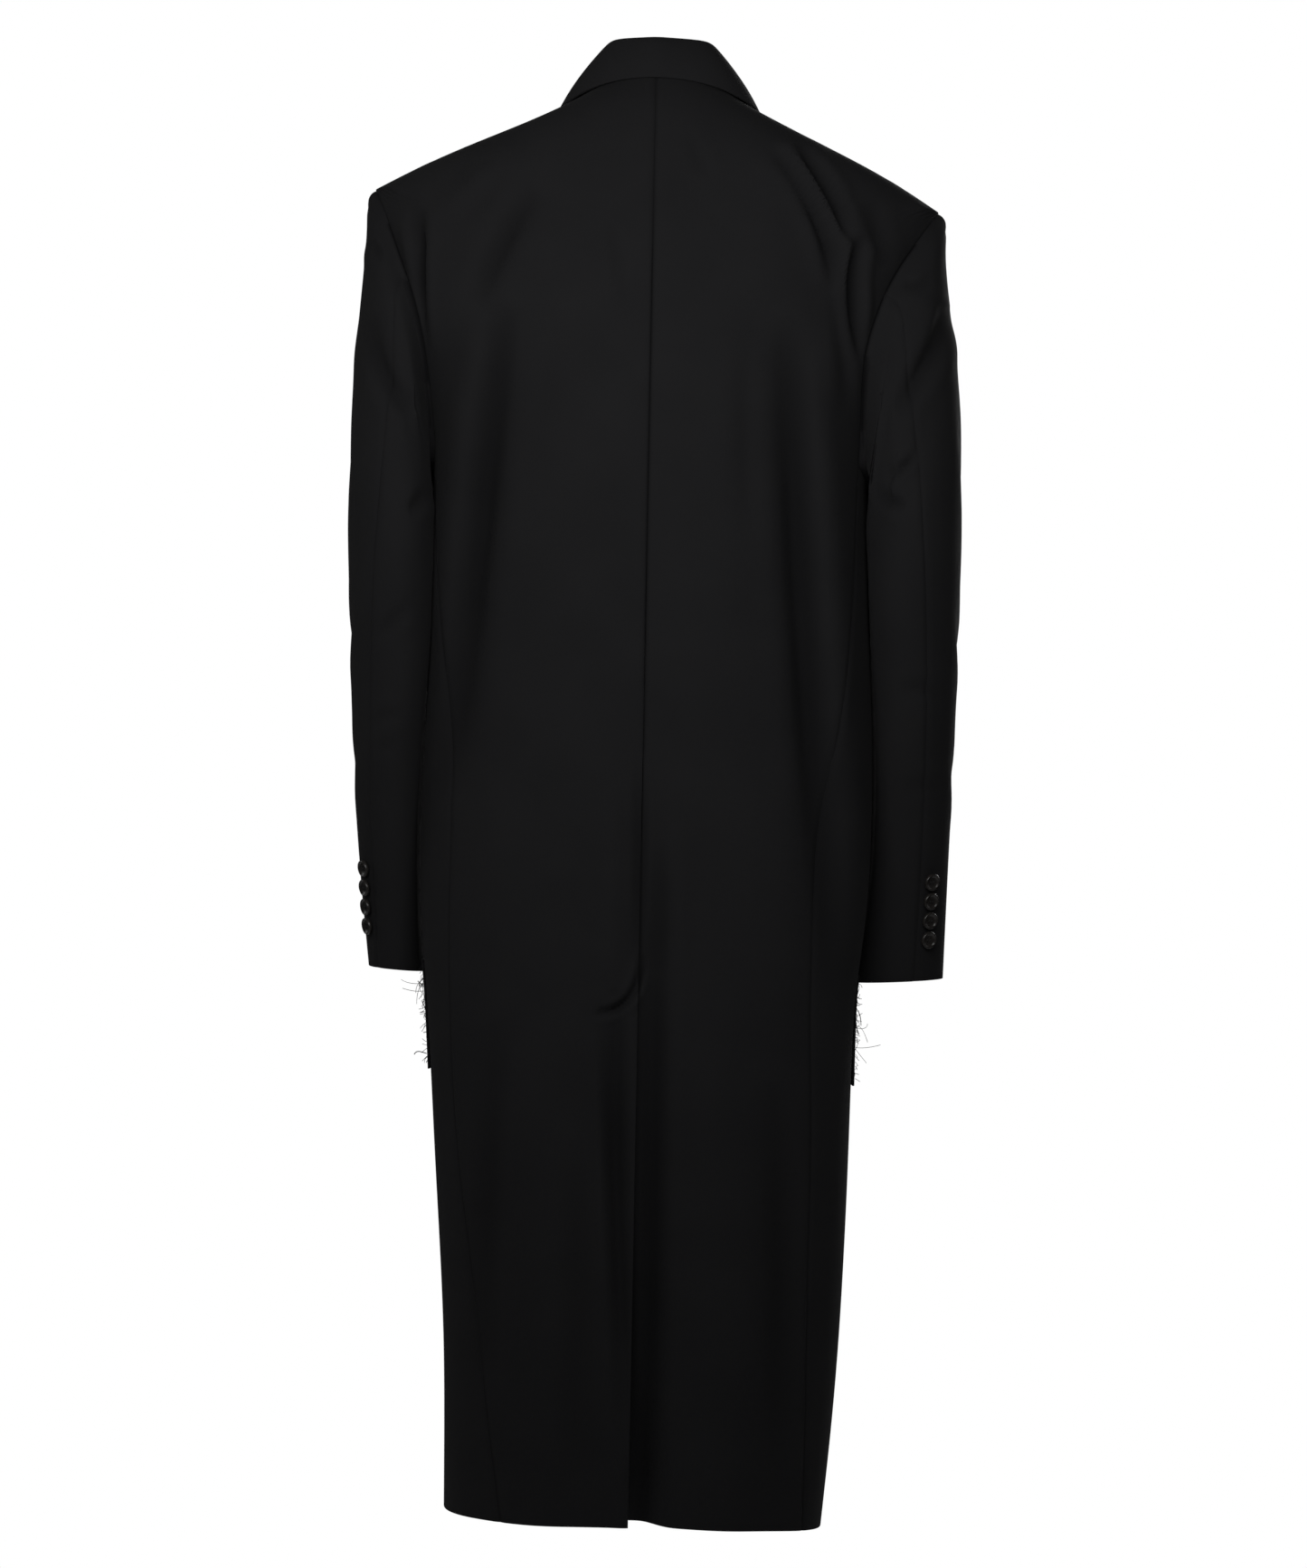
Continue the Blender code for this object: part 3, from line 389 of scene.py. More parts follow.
PANELS = ["back", "side", "front", "lapel", "sleeve_top", "sleeve_under", "pocket_flap"]
cloth_pieces = {}
for kind in PANELS:
    for side in SIDES:
        node = kind + "_" + side
        cloth_pieces[node] = clean_copy(node, node + "_cloth")
        soften(cloth_pieces[node], PANEL_DETAIL)
cloth_pieces["collar"] = clean_copy("collar", "collar_cloth")
soften(cloth_pieces["collar"], COLLAR_DETAIL)
print("cloth pieces:", len(cloth_pieces))

# %% [markdown]
# ## Folds and pressed seams
#
# The drape comes from a short table of folds, each on a bow from its start by its middle to
# its end, seen from the back, the front or a side. Below 0 is a trough. A fold fades out at
# both ends and has a slight lip beside it, as in cloth that is pushed together. Where two
# panels are sewn, both sink a little towards the seam, so that the seam reads as a line; a
# painted shade along it darkens that line further.

# %% Fold tables
# The columns of each fold. On the outer side of a sleeve, y takes the place of x.
FOLD_COLUMNS = "start_x start_z middle_x middle_z end_x end_z width depth".split()
LIP_PLACE = 1.9
LIP_HEIGHT = 0.35
END_FADE = 0.7
BACK_FOLDS = [
    (-0.109, -0.035, -0.137, -0.078, -0.168, -0.136, 0.0060, 0.0085),
    (-0.111, -0.048, -0.142, -0.096, -0.160, -0.165, 0.0070, -0.0085),
    (-0.123, -0.043, -0.151, -0.080, -0.167, -0.126, 0.0065, -0.0085),
    (-0.183, -0.118, -0.175, -0.160, -0.185, -0.225, 0.0055, -0.0110),
    (-0.187, -0.085, -0.195, -0.112, -0.205, -0.144, 0.0080, -0.0040),
    (-0.160, -0.165, -0.167, -0.214, -0.171, -0.268, 0.0070, -0.0025),
    (-0.117, -0.191, -0.137, -0.433, -0.170, -0.783, 0.0150, -0.0110),
    (-0.087, -0.184, -0.084, -0.293, -0.094, -0.386, 0.0100, -0.0020),
    (-0.026, -0.029, -0.036, -0.052, -0.044, -0.072, 0.0060, -0.0014),
    (-0.014, -0.645, -0.018, -0.707, -0.016, -0.762, 0.0090, -0.0025),
    (-0.120, -0.850, -0.128, -1.020, -0.126, -1.200, 0.0140, -0.0040),
    (0.102, -0.083, 0.129, -0.127, 0.153, -0.187, 0.0100, -0.0050),
    (0.202, -0.097, 0.203, -0.158, 0.200, -0.224, 0.0055, -0.0100),
    (0.208, -0.098, 0.210, -0.115, 0.208, -0.133, 0.0050, -0.0035),
    (0.144, -0.061, 0.158, -0.083, 0.187, -0.108, 0.0090, 0.0035),
    (0.128, -0.180, 0.141, -0.344, 0.172, -0.613, 0.0140, -0.0090),
    (0.147, -0.235, 0.156, -0.360, 0.166, -0.469, 0.0130, -0.0030),
    (0.039, -0.112, 0.031, -0.147, 0.025, -0.186, 0.0060, -0.0016),
    (0.002, -0.572, 0.000, -0.669, 0.000, -0.751, 0.0050, -0.0030),
    (0.008, -0.600, 0.006, -0.700, 0.010, -0.800, 0.0120, -0.0045),
    (-0.003, -0.742, 0.009, -0.782, 0.040, -0.793, 0.0036, -0.0048),
    (0.033, -0.791, 0.025, -0.870, 0.001, -1.174, 0.0060, -0.0022),
    (0.018, -0.772, 0.014, -0.930, 0.002, -1.180, 0.0080, -0.0080),
    (-0.013, -0.600, -0.015, -1.000, -0.015, -1.440, 0.0105, -0.0080),
    (0.122, -0.800, 0.128, -0.960, 0.126, -1.130, 0.0140, -0.0035),
    (0.050, -0.900, 0.046, -1.050, 0.050, -1.200, 0.0160, -0.0025),
]
FRONT_FOLDS = [
    (0.150, -0.200, 0.128, -0.340, 0.120, -0.520, 0.0120, -0.0050),
    (-0.152, -0.210, -0.130, -0.350, -0.120, -0.500, 0.0110, -0.0045),
    (0.170, -0.140, 0.166, -0.190, 0.160, -0.250, 0.0070, -0.0040),
    (-0.174, -0.150, -0.168, -0.200, -0.166, -0.270, 0.0070, -0.0045),
    (0.022, -0.462, 0.070, -0.500, 0.124, -0.520, 0.0090, -0.0030),
    (-0.034, -0.462, -0.080, -0.496, -0.128, -0.512, 0.0090, -0.0025),
    (0.090, -0.900, 0.096, -1.060, 0.100, -1.230, 0.0180, 0.0030),
    (-0.092, -0.900, -0.098, -1.060, -0.104, -1.230, 0.0180, 0.0026),
    (0.040, -0.820, 0.044, -1.000, 0.050, -1.200, 0.0200, -0.0030),
    (-0.052, -0.820, -0.056, -1.000, -0.060, -1.200, 0.0200, -0.0034),
]
SLEEVE_BACK_FOLDS = [
    (-0.219, -0.154, -0.231, -0.157, -0.245, -0.150, 0.0055, -0.0040),
    (-0.257, -0.170, -0.247, -0.213, -0.213, -0.270, 0.0080, -0.0065),
    (-0.233, -0.309, -0.221, -0.316, -0.207, -0.328, 0.0040, -0.0040),
    (-0.196, -0.342, -0.210, -0.347, -0.224, -0.352, 0.0055, -0.0040),
    (-0.262, -0.520, -0.244, -0.508, -0.222, -0.512, 0.0060, -0.0020),
    (-0.262, -0.600, -0.248, -0.592, -0.226, -0.598, 0.0060, -0.0016),
    (0.245, -0.191, 0.231, -0.246, 0.201, -0.276, 0.0085, -0.0055),
    (0.244, -0.126, 0.242, -0.134, 0.236, -0.142, 0.0050, -0.0030),
    (0.193, -0.343, 0.199, -0.356, 0.207, -0.364, 0.0055, -0.0030),
    (0.236, -0.470, 0.222, -0.460, 0.203, -0.442, 0.0060, -0.0022),
    (0.238, -0.545, 0.224, -0.540, 0.210, -0.539, 0.0050, -0.0018),
    (0.234, -0.572, 0.224, -0.566, 0.214, -0.568, 0.0050, -0.0016),
]
SLEEVE_FRONT_FOLDS = [
    (0.255, -0.440, 0.230, -0.456, 0.204, -0.446, 0.0080, -0.0045),
    (0.252, -0.480, 0.228, -0.492, 0.204, -0.486, 0.0070, -0.0036),
    (0.245, -0.200, 0.230, -0.240, 0.208, -0.270, 0.0090, -0.0040),
    (-0.268, -0.450, -0.240, -0.466, -0.206, -0.456, 0.0080, -0.0045),
    (-0.266, -0.492, -0.238, -0.502, -0.208, -0.496, 0.0070, -0.0036),
    (-0.255, -0.190, -0.240, -0.235, -0.214, -0.275, 0.0090, -0.0045),
]
OUTER_FOLDS = [
    (0.040, -0.250, 0.010, -0.330, -0.030, -0.400, 0.014, -0.0016),
    (0.030, -0.430, 0.000, -0.470, -0.050, -0.490, 0.012, -0.0018),
    (0.010, -0.560, -0.030, -0.590, -0.070, -0.600, 0.012, -0.0014),
]


def bow_points(fold, steps=20):
    """The fold's line in its flat view, as points on a smooth bow."""
    start, middle, end = (np.array([fold[place + "_x"], fold[place + "_z"]])
                          for place in ("start", "middle", "end"))
    share = np.linspace(0, 1, steps + 1)[:, None]
    line = start * (1 - share) * (1 - 2 * share) + middle * 4 * share * (1 - share)
    return line + end * share * (2 * share - 1)


def fold_heights(flat, folds):
    """How far the folds move each point of a flat view, in metres."""
    total = np.zeros(len(flat))
    for row in folds:
        fold = dict(zip(FOLD_COLUMNS, row))
        width = fold["width"]
        line = bow_points(fold)
        low = line.min(axis=0) - 4 * width
        high = line.max(axis=0) + 4 * width
        near = np.where(((flat > low) & (flat < high)).all(axis=1))[0]
        if not len(near):
            continue
        away = np.full(len(near), np.inf)
        place = np.zeros(len(near))
        for k in range(len(line) - 1):
            run = line[k + 1] - line[k]
            along = np.clip(((flat[near] - line[k]) @ run) / (run @ run), 0, 1)
            gap = np.linalg.norm(flat[near] - line[k] - along[:, None] * run, axis=1)
            place = np.where(gap < away, (k + along) / (len(line) - 1), place)
            away = np.minimum(away, gap)
        fade = np.sin(math.pi * place) ** END_FADE
        lip = np.exp(-(((away - LIP_PLACE * width) / width) ** 2))
        crest = np.exp(-((away / width) ** 2)) - LIP_HEIGHT * lip
        total[near] += fold["depth"] * fade * crest
    return total


def step_up(values, start, end):
    """0 at start and 1 at end, with a soft step between."""
    share = np.clip((values - start) / (end - start), 0, 1)
    return share * share * (3 - 2 * share)


print("folds:", sum(len(t) for t in (BACK_FOLDS, FRONT_FOLDS, SLEEVE_BACK_FOLDS,
                                     SLEEVE_FRONT_FOLDS, OUTER_FOLDS)))

# %% [markdown]
# ## Which way a fold lifts
#
# A fold lifts the cloth straight away from the wearer. On the body that is away from an
# oval, and upwards on the shoulders. On a sleeve it is away from the arm's middle line,
# which bends forwards below the elbow.

# %% Directions in which the cloth may move
BODY_HALF_WIDTH = 0.19
BODY_HALF_DEPTH = 0.12
BODY_SQUARENESS = 1.5
SHOULDER_LIFT = 1.3
SHOULDER_START, SHOULDER_END = -0.20, 0.0
SLEEVE_HALF_WIDTH = 0.033
SLEEVE_HALF_DEPTH = 0.075
# The middle line of the left sleeve: height, x, y
SLEEVE_LINE = [(-0.10, 0.215, 0.000), (-0.45, 0.227, -0.012), (-0.60, 0.225, -0.038),
               (-0.78, 0.217, -0.068)]
# The right sleeve stands off further: what is added to x on each row
SLEEVE_RIGHT_SHIFT = [0.002, 0.007, 0.012, 0.014]


def unit(vectors):
    """The same directions, one metre long."""
    return vectors / np.maximum(np.linalg.norm(vectors, axis=1, keepdims=True), 1e-9)


def body_outwards(points):
    """Outward directions on the body: round the rings, and up over the shoulders."""
    x = points[:, 0] / BODY_HALF_WIDTH
    y = points[:, 1] / BODY_HALF_DEPTH
    over = SHOULDER_LIFT * step_up(points[:, 2], SHOULDER_START, SHOULDER_END)
    return unit(np.stack([np.sign(x) * np.abs(x) ** BODY_SQUARENESS / BODY_HALF_WIDTH,
                          np.sign(y) * np.abs(y) ** BODY_SQUARENESS / BODY_HALF_DEPTH,
                          over / BODY_HALF_DEPTH], axis=1))


def sleeve_middle(side, heights):
    """The x and y of the sleeve's middle line at these heights."""
    levels = [row[0] for row in SLEEVE_LINE][::-1]
    shift = SLEEVE_RIGHT_SHIFT if side == "right" else [0, 0, 0, 0]
    x = [row[1] + move for row, move in zip(SLEEVE_LINE, shift)][::-1]
    y = [row[2] for row in SLEEVE_LINE][::-1]
    return SIDES[side] * np.interp(heights, levels, x), np.interp(heights, levels, y)


def sleeve_outwards(side, points):
    """Outward directions on a sleeve, away from its middle line."""
    x, y = sleeve_middle(side, points[:, 2])
    return unit(np.stack([(points[:, 0] - x) / SLEEVE_HALF_WIDTH**2,
                          (points[:, 1] - y) / SLEEVE_HALF_DEPTH**2, 0 * x], axis=1))


print("directions ready")

# %% [markdown]
# ## Sewing and folding
#
# The imported panels stop a hair apart. Each sewn rim is drawn to its neighbour and both sink
# at the seam. At the armhole the sleeve and the body face apart, so there the rims are only
# drawn together. What is sewn and how deep each point sank is kept for the painted shade of
# the seams and the folds.

# %% Shape each panel
SEWN = ("back", "side", "front", "sleeve")
SEAM_REACH = 0.0012
ARMHOLE_REACH = 0.0045
SEAM_DIP = 0.0014
SEAM_WIDTH = 0.0026
SEAM_PULL = 0.58
ARMHOLE_FADE = 0.007
FADE_ROUND_THE_SIDE = 0.025
FADE_ROUND_THE_ARM = (-0.01, 0.02)
FADE_TO_THE_OUTSIDE = 0.015
# How dark the painted shade along each kind of seam is
ARMHOLE_LINE = 1.0
CENTRE_BACK_LINE = 0.95
SIDE_LINE = 0.80
SLEEVE_SEAM_LINE = 0.66
seam_lines = {}
hollows = {}


def coordinates(piece):
    """The piece's points as an array."""
    values = np.empty(len(piece.data.vertices) * 3, dtype=np.float32)
    piece.data.vertices.foreach_get("co", values)
    return values.reshape(-1, 3).astype(float)


def body_heights(points):
    """Folds of the back and of the front, each fading out towards the side."""
    behind = step_up(points[:, 1], 0, FADE_ROUND_THE_SIDE)
    ahead = step_up(-points[:, 1], 0, FADE_ROUND_THE_SIDE)
    flat = points[:, [0, 2]]
    return behind * fold_heights(flat, BACK_FOLDS) + ahead * fold_heights(flat, FRONT_FOLDS)


def sleeve_heights(side, points):
    """Folds of the sleeve's back, front and outer side."""
    x, y = sleeve_middle(side, points[:, 2])
    behind = step_up(points[:, 1] - y, *FADE_ROUND_THE_ARM)
    ahead = step_up(y - points[:, 1], *FADE_ROUND_THE_ARM)
    outside = step_up((points[:, 0] - x) * SIDES[side], 0, FADE_TO_THE_OUTSIDE)
    flat = points[:, [0, 2]]
    height = behind * fold_heights(flat, SLEEVE_BACK_FOLDS)
    height += ahead * fold_heights(flat, SLEEVE_FRONT_FOLDS)
    return height + outside * fold_heights(points[:, [1, 2]], OUTER_FOLDS)


def tree_of(points):
    """A search tree over points."""
    tree = KDTree(len(points))
    for k, point in enumerate(points):
        tree.insert(point, k)
    tree.balance()
    return tree


surfaces = {node: BVHTree.FromPolygons(coordinates(piece).tolist(),
                                       [tuple(f.vertices) for f in piece.data.polygons])
            for node, piece in cloth_pieces.items() if node.startswith(SEWN)}


def distances(points, line):
    """How far each point is from the nearest of the line's points."""
    tree = tree_of(line)
    return np.array([tree.find(p)[2] for p in points])


def is_armhole(node, other):
    """True where a sleeve meets the body."""
    return node.startswith("sleeve") != other.startswith("sleeve")


def neighbour(node, point):
    """The nearest place on another sewn panel, and that panel's name."""
    nearest = (None, None)
    least = ARMHOLE_REACH
    for other, surface in surfaces.items():
        if other == node:
            continue
        reach = ARMHOLE_REACH if is_armhole(node, other) else SEAM_REACH
        place, _, _, gap = surface.find_nearest(point, reach)
        if place is not None and gap < least:
            nearest = (place, other)
            least = gap
    return nearest


def seam_strength(node, other):
    """How dark the painted shade along a seam is: armholes and centre back most, seams of the
    sleeves least.
    """
    if is_armhole(node, other):
        return ARMHOLE_LINE
    if node.startswith("sleeve"):
        return SLEEVE_SEAM_LINE
    if node.startswith("back") and other.startswith("back"):
        return CENTRE_BACK_LINE
    return SIDE_LINE


def sew(node, piece, points):
    """Sewn rims drawn together, the dip at every seam, and how free the cloth is to fold.

    The two cloths of an armhole face apart from each other, so neither folds or dips there.
    """
    sewn = []
    strengths = []
    armhole = []
    for k in rim_vertices(piece):
        place, other = neighbour(node, points[k])
        if place is None:
            continue
        sewn.append(points[k].copy())
        strengths.append(seam_strength(node, other))
        if is_armhole(node, other):
            armhole.append(points[k].copy())
        points[k] += (np.array(place) - points[k]) * SEAM_PULL
    away = distances(points, sewn)
    free = np.ones(len(points))
    if armhole:
        free -= np.exp(-((distances(points, armhole) / ARMHOLE_FADE) ** 2))
    seam_lines[node] = (sewn, strengths)
    return points, -SEAM_DIP * np.exp(-((away / SEAM_WIDTH) ** 2)) * free, free


def shape(node, piece):
    """Move the piece's points by its folds and its seams. The collar is pressed smooth."""
    points = coordinates(piece)
    dip, free = 0, 1
    if node.startswith(SEWN):
        points, dip, free = sew(node, piece, points)
    if node.startswith("sleeve"):
        side = node.rsplit("_", 1)[1]
        outwards = sleeve_outwards(side, points)
        height = sleeve_heights(side, points) * free + dip
    else:
        outwards = body_outwards(points)
        height = body_heights(points) * free + dip
    if node == "collar":
        height = 0 * height
    moved = points + outwards * height[:, None]
    hollows[node] = (moved, height)
    piece.data.vertices.foreach_set("co", moved.astype(np.float32).ravel())
    piece.data.update()


for node, piece in cloth_pieces.items():
    shape(node, piece)
print("panels shaped")

# %% [markdown]
# ## Edges, shading and the direction of the weave
#
# A cut edge of thick wool isn't a knife edge, so each rim gets a small bevel. Two attributes
# tell the wool where it is sewn and where a fold is deep, and there it gets painted shade. The
# UV map is laid in metres: round the body or the arm one way, and down the cloth the other way.

# %% Round the rims and lay the UV map
ROUNDING = 0.0009
# How far the painted shade of a seam reaches, and the fold depth at which a fold's painted shade is
# full
SEAM_SHADE_REACH = 0.0045
HOLLOW_DEPTH = 0.0085
BODY_RADIUS = 0.15
ARM_RADIUS = 0.055
ARM_FLATNESS = 2.2


def round_rims(piece):
    """A small bevel along the wall's sharp edges."""
    work = bmesh.new()
    work.from_mesh(piece.data)
    edges = [edge for edge in work.edges if is_sharp(edge)]
    bmesh.ops.bevel(work, geom=edges, offset=ROUNDING, segments=3, profile=0.5,
                    affect="EDGES", clamp_overlap=True)
    work.to_mesh(piece.data)
    work.free()


def mark(piece, name, values):
    """One number for each point of the piece, for its material to read."""
    layer = piece.data.attributes.new(name, "FLOAT", "POINT")
    layer.data.foreach_set("value", values.astype(np.float32))


def mark_seams(node, piece):
    """An attribute for the painted shade of the seams: 1 on the piece's sewn seams, fading out
    beside them.
    """
    shade = np.zeros(len(piece.data.vertices))
    if node in seam_lines:
        sewn, strengths = seam_lines[node]
        tree = tree_of(sewn)
        for k, point in enumerate(coordinates(piece)):
            _, at, away = tree.find(point)
            shade[k] = max(1 - away / SEAM_SHADE_REACH, 0) * strengths[at]
    mark(piece, "seam", shade)


def mark_hollows(node, piece):
    """An attribute for painted shade that is 1 at the bottom of a deep fold, which gets little
    light.
    """
    places, heights = hollows[node]
    tree = tree_of(places)
    nearest = [tree.find(point)[1] for point in coordinates(piece)]
    mark(piece, "fold_shade", np.clip(-heights[nearest] / HOLLOW_DEPTH, 0, 1))


def lay_uv(node, piece):
    """A UV map in metres: u round the body or arm, v down the cloth."""
    points = coordinates(piece)
    if node.startswith("sleeve"):
        x, y = sleeve_middle(node.rsplit("_", 1)[1], points[:, 2])
        u = ARM_RADIUS * np.arctan2((points[:, 1] - y) / ARM_FLATNESS, points[:, 0] - x)
    elif node.startswith("side"):
        u = BODY_RADIUS * np.arctan2(points[:, 1], points[:, 0])
    else:
        u = points[:, 0]
    layer = piece.data.uv_layers.new(name="cloth")
    corners = np.empty(len(piece.data.loops), dtype=np.int32)
    piece.data.loops.foreach_get("vertex_index", corners)
    values = np.stack([u[corners], points[corners, 2]], axis=1)
    layer.data.foreach_set("uv", values.astype(np.float32).ravel())


for node, piece in cloth_pieces.items():
    round_rims(piece)
    mark_seams(node, piece)
    mark_hollows(node, piece)
    lay_uv(node, piece)
    piece.data.shade_smooth()
    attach(piece, "root")
    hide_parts(node)
print("triangles:", {n: sum(len(f.vertices) - 2 for f in p.data.polygons)
                     for n, p in cloth_pieces.items()})

# %% [markdown]
# ## Buttons
#
# A turned horn button is a low dish inside a raised, polished rim, with four holes and two
# bars of thread. It is turned once as a unit disc, extruded ring by ring, and then set
# where each packed button is, with that button's own radius, height and direction. The holes
# are not cut: a black disc on the dish is painted shade for each one.

# %% Turn the buttons
# The turned profile, from the foot up, over the rim and into the dish: radius, level
BUTTON_RINGS = [(1.00, 0.36), (1.00, 0.58), (0.975, 0.80), (0.92, 0.96), (0.85, 1.00),
                (0.77, 0.94), (0.70, 0.78), (0.62, 0.66), (0.48, 0.60)]
BUTTON_FOOT = 0.86
HOLE_PLACE = 0.17
# Size and depth of the black discs of painted shade that stand for the holes
HOLE_SIZE = 0.085
HOLE_DEPTH = 0.04
BAR_SIZE = 0.055
BAR_LENGTH = 2.3 * HOLE_PLACE
BAR_LEVEL = 0.05
COAT_MIDDLE_DEPTH = -0.005
HORN_DARK = (0.007, 0.0065, 0.006, 1)
HORN_LIGHT = (0.018, 0.016, 0.015, 1)
HORN_ROUGHNESS = (0.18, 0.36)
HORN_SPECULAR = 0.22
STREAKS_PER_METRE = 160


def plain_material(name, colour, roughness, specular):
    """A material of one colour."""
    material = bpy.data.materials.new(name)
    material.use_nodes = True
    shader = material.node_tree.nodes["Principled BSDF"]
    shader.inputs["Base Color"].default_value = colour
    shader.inputs["Roughness"].default_value = roughness
    shader.inputs["Specular IOR Level"].default_value = specular
    return material


def make_horn():
    """Black horn: polished, with faint cloudy streaks."""
    material = plain_material("black_horn", HORN_DARK, HORN_ROUGHNESS[0], HORN_SPECULAR)
    tree = material.node_tree
    shader = tree.nodes["Principled BSDF"]
    place = tree.nodes.new("ShaderNodeTexCoord")
    streaks = tree.nodes.new("ShaderNodeTexNoise")
    streaks.inputs["Scale"].default_value = STREAKS_PER_METRE
    streaks.inputs["Detail"].default_value = 4
    streaks.inputs["Distortion"].default_value = 1.2
    colours = tree.nodes.new("ShaderNodeMix")
    colours.data_type = "RGBA"
    colours.inputs[6].default_value = HORN_DARK
    colours.inputs[7].default_value = HORN_LIGHT
    gloss = tree.nodes.new("ShaderNodeMapRange")
    gloss.inputs["To Min"].default_value = HORN_ROUGHNESS[0]
    gloss.inputs["To Max"].default_value = HORN_ROUGHNESS[1]
    tree.links.new(place.outputs["Object"], streaks.inputs["Vector"])
    tree.links.new(streaks.outputs["Fac"], colours.inputs[0])
    tree.links.new(streaks.outputs["Fac"], gloss.inputs["Value"])
    tree.links.new(colours.outputs[2], shader.inputs["Base Color"])
    tree.links.new(gloss.outputs["Result"], shader.inputs["Roughness"])
    return material


horn = make_horn()
# Painted shade: the button's holes are not cut, a black disc on the dish stands for each one
painted_hole_shade = plain_material("painted_hole_shade", (0.002, 0.002, 0.002, 1), 1.0, 0.0)
thread_black = plain_material("thread_black", (0.014, 0.014, 0.015, 1), 0.8, 0.1)


def turn_button():
    """The unit button, pointing up from its foot at the origin."""
    start_clean()
    bpy.ops.mesh.primitive_circle_add(vertices=40, radius=BUTTON_FOOT, fill_type="NGON")
    disc = bpy.context.object
    bpy.ops.object.mode_set(mode="EDIT")
    bpy.ops.mesh.select_all(action="SELECT")
    radius, level = BUTTON_FOOT, 0
    for new_radius, new_level in BUTTON_RINGS:
        bpy.ops.mesh.extrude_region_move(
            TRANSFORM_OT_translate={"value": (0, 0, new_level - level)})
        grow = new_radius / radius
        bpy.ops.transform.resize(value=(grow, grow, 1), center_override=(0, 0, 0))
        radius, level = new_radius, new_level
    bpy.ops.mesh.select_all(action="SELECT")
    bpy.ops.mesh.normals_make_consistent(inside=False)
    bpy.ops.object.mode_set(mode="OBJECT")
    disc.data.materials.append(horn)
    return disc


def button_parts():
    """The button with a black disc of painted shade for each of its four holes, and the thread
    through them, as one object.
    """
    disc = turn_button()
    parts = [disc]
    face_level = BUTTON_RINGS[-1][1]
    for x in (-HOLE_PLACE, HOLE_PLACE):
        for y in (-HOLE_PLACE, HOLE_PLACE):
            # Each hole is a black disc on the dish: painted shade, not a cut
            start_clean()
            bpy.ops.mesh.primitive_cylinder_add(vertices=14, radius=HOLE_SIZE, depth=HOLE_DEPTH,
                                                location=(x, y, face_level + HOLE_DEPTH / 4))
            parts.append(bpy.context.object)
            parts[-1].data.materials.append(painted_hole_shade)
        start_clean()
        bpy.ops.mesh.primitive_cylinder_add(vertices=10, radius=BAR_SIZE, depth=BAR_LENGTH,
                                            location=(x, 0, face_level + BAR_LEVEL),
                                            rotation=(math.pi / 2, 0, 0))
        parts.append(bpy.context.object)
        parts[-1].data.materials.append(thread_black)
    start_clean()
    for part in parts:
        part.select_set(True)
    bpy.context.view_layer.objects.active = disc
    bpy.ops.object.join()
    disc.data.shade_smooth()
    return disc


def packed_points(node):
    """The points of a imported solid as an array."""
    return coordinates(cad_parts[node])


def set_button(unit_button, node):
    """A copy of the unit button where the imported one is."""
    packed = packed_points(node)
    centre = packed.mean(axis=0)
    normal = np.linalg.svd(packed - centre, full_matrices=False)[2][2]
    middle = np.array([0, COAT_MIDDLE_DEPTH, centre[2]])
    if node.startswith("cuff"):
        x, y = sleeve_middle(node.split("_")[2], centre[2:3])
        middle = np.array([x[0], y[0], centre[2]])
    if normal @ (centre - middle) < 0:
        normal = -normal
    level = (packed - centre) @ normal
    spread = packed - centre - level[:, None] * normal
    radius = np.linalg.norm(spread, axis=1).max()
    foot = Vector(centre + normal * level.min())
    turn = Vector(normal).to_track_quat("Z", "Y").to_matrix().to_4x4()
    size = Matrix.Diagonal((radius, radius, level.max() - level.min(), 1))
    piece = bpy.data.objects.new(node + "_turned", unit_button.data.copy())
    bpy.context.scene.collection.objects.link(piece)
    piece.data.transform(Matrix.Translation(foot) @ turn @ size)
    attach(piece, "root")
    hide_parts(node)


unit_button = button_parts()
button_nodes = [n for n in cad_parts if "button" in n]
for node in button_nodes:
    set_button(unit_button, node)
bpy.data.objects.remove(unit_button)
print("buttons set:", len(button_nodes))

# %% [markdown]
# ## Loose threads
#
# The raw edges of the pocket flaps fray. Each packed fringe marks where the threads start.
# They are much finer than it: short curls near the edge, a few long ones that hang, and
# the thicker yarns that stand out against the white.

# %% Frayed edges
THREAD_RADIUS = 0.00022
YARN_RADIUS = 0.00042
THREAD_STEPS = 8
HANGING_EVERY = 9
HANGING_LENGTHS = (0.016, 0.024)
CURL_SPREAD = 0.45
CURL_BEND = 0.28
CURL_DROP = np.array([0, 0, -0.16])
# The threads of each side: count, shortest and longest curl, seed of the random draws
THREADS = {
    "left": (64, 0.0030, 0.0080, 5),
    "right": (58, 0.0030, 0.0070, 8),
}
# The yarns that show: side, height of the root, how far out and how far up the end is, sag
YARNS = [
    ("left", -0.802, 0.0035, 0.0100, -0.0010),
    ("left", -0.838, 0.0110, -0.0010, 0.0022),
    ("left", -0.772, 0.0040, -0.0070, 0.0010),
    ("left", -0.778, 0.0050, 0.0040, -0.0012),
    ("right", -0.790, 0.0050, -0.0160, 0.0012),
    ("right", -0.796, 0.0030, -0.0180, -0.0010),
    ("right", -0.818, -0.0020, -0.0080, 0.0015),
]


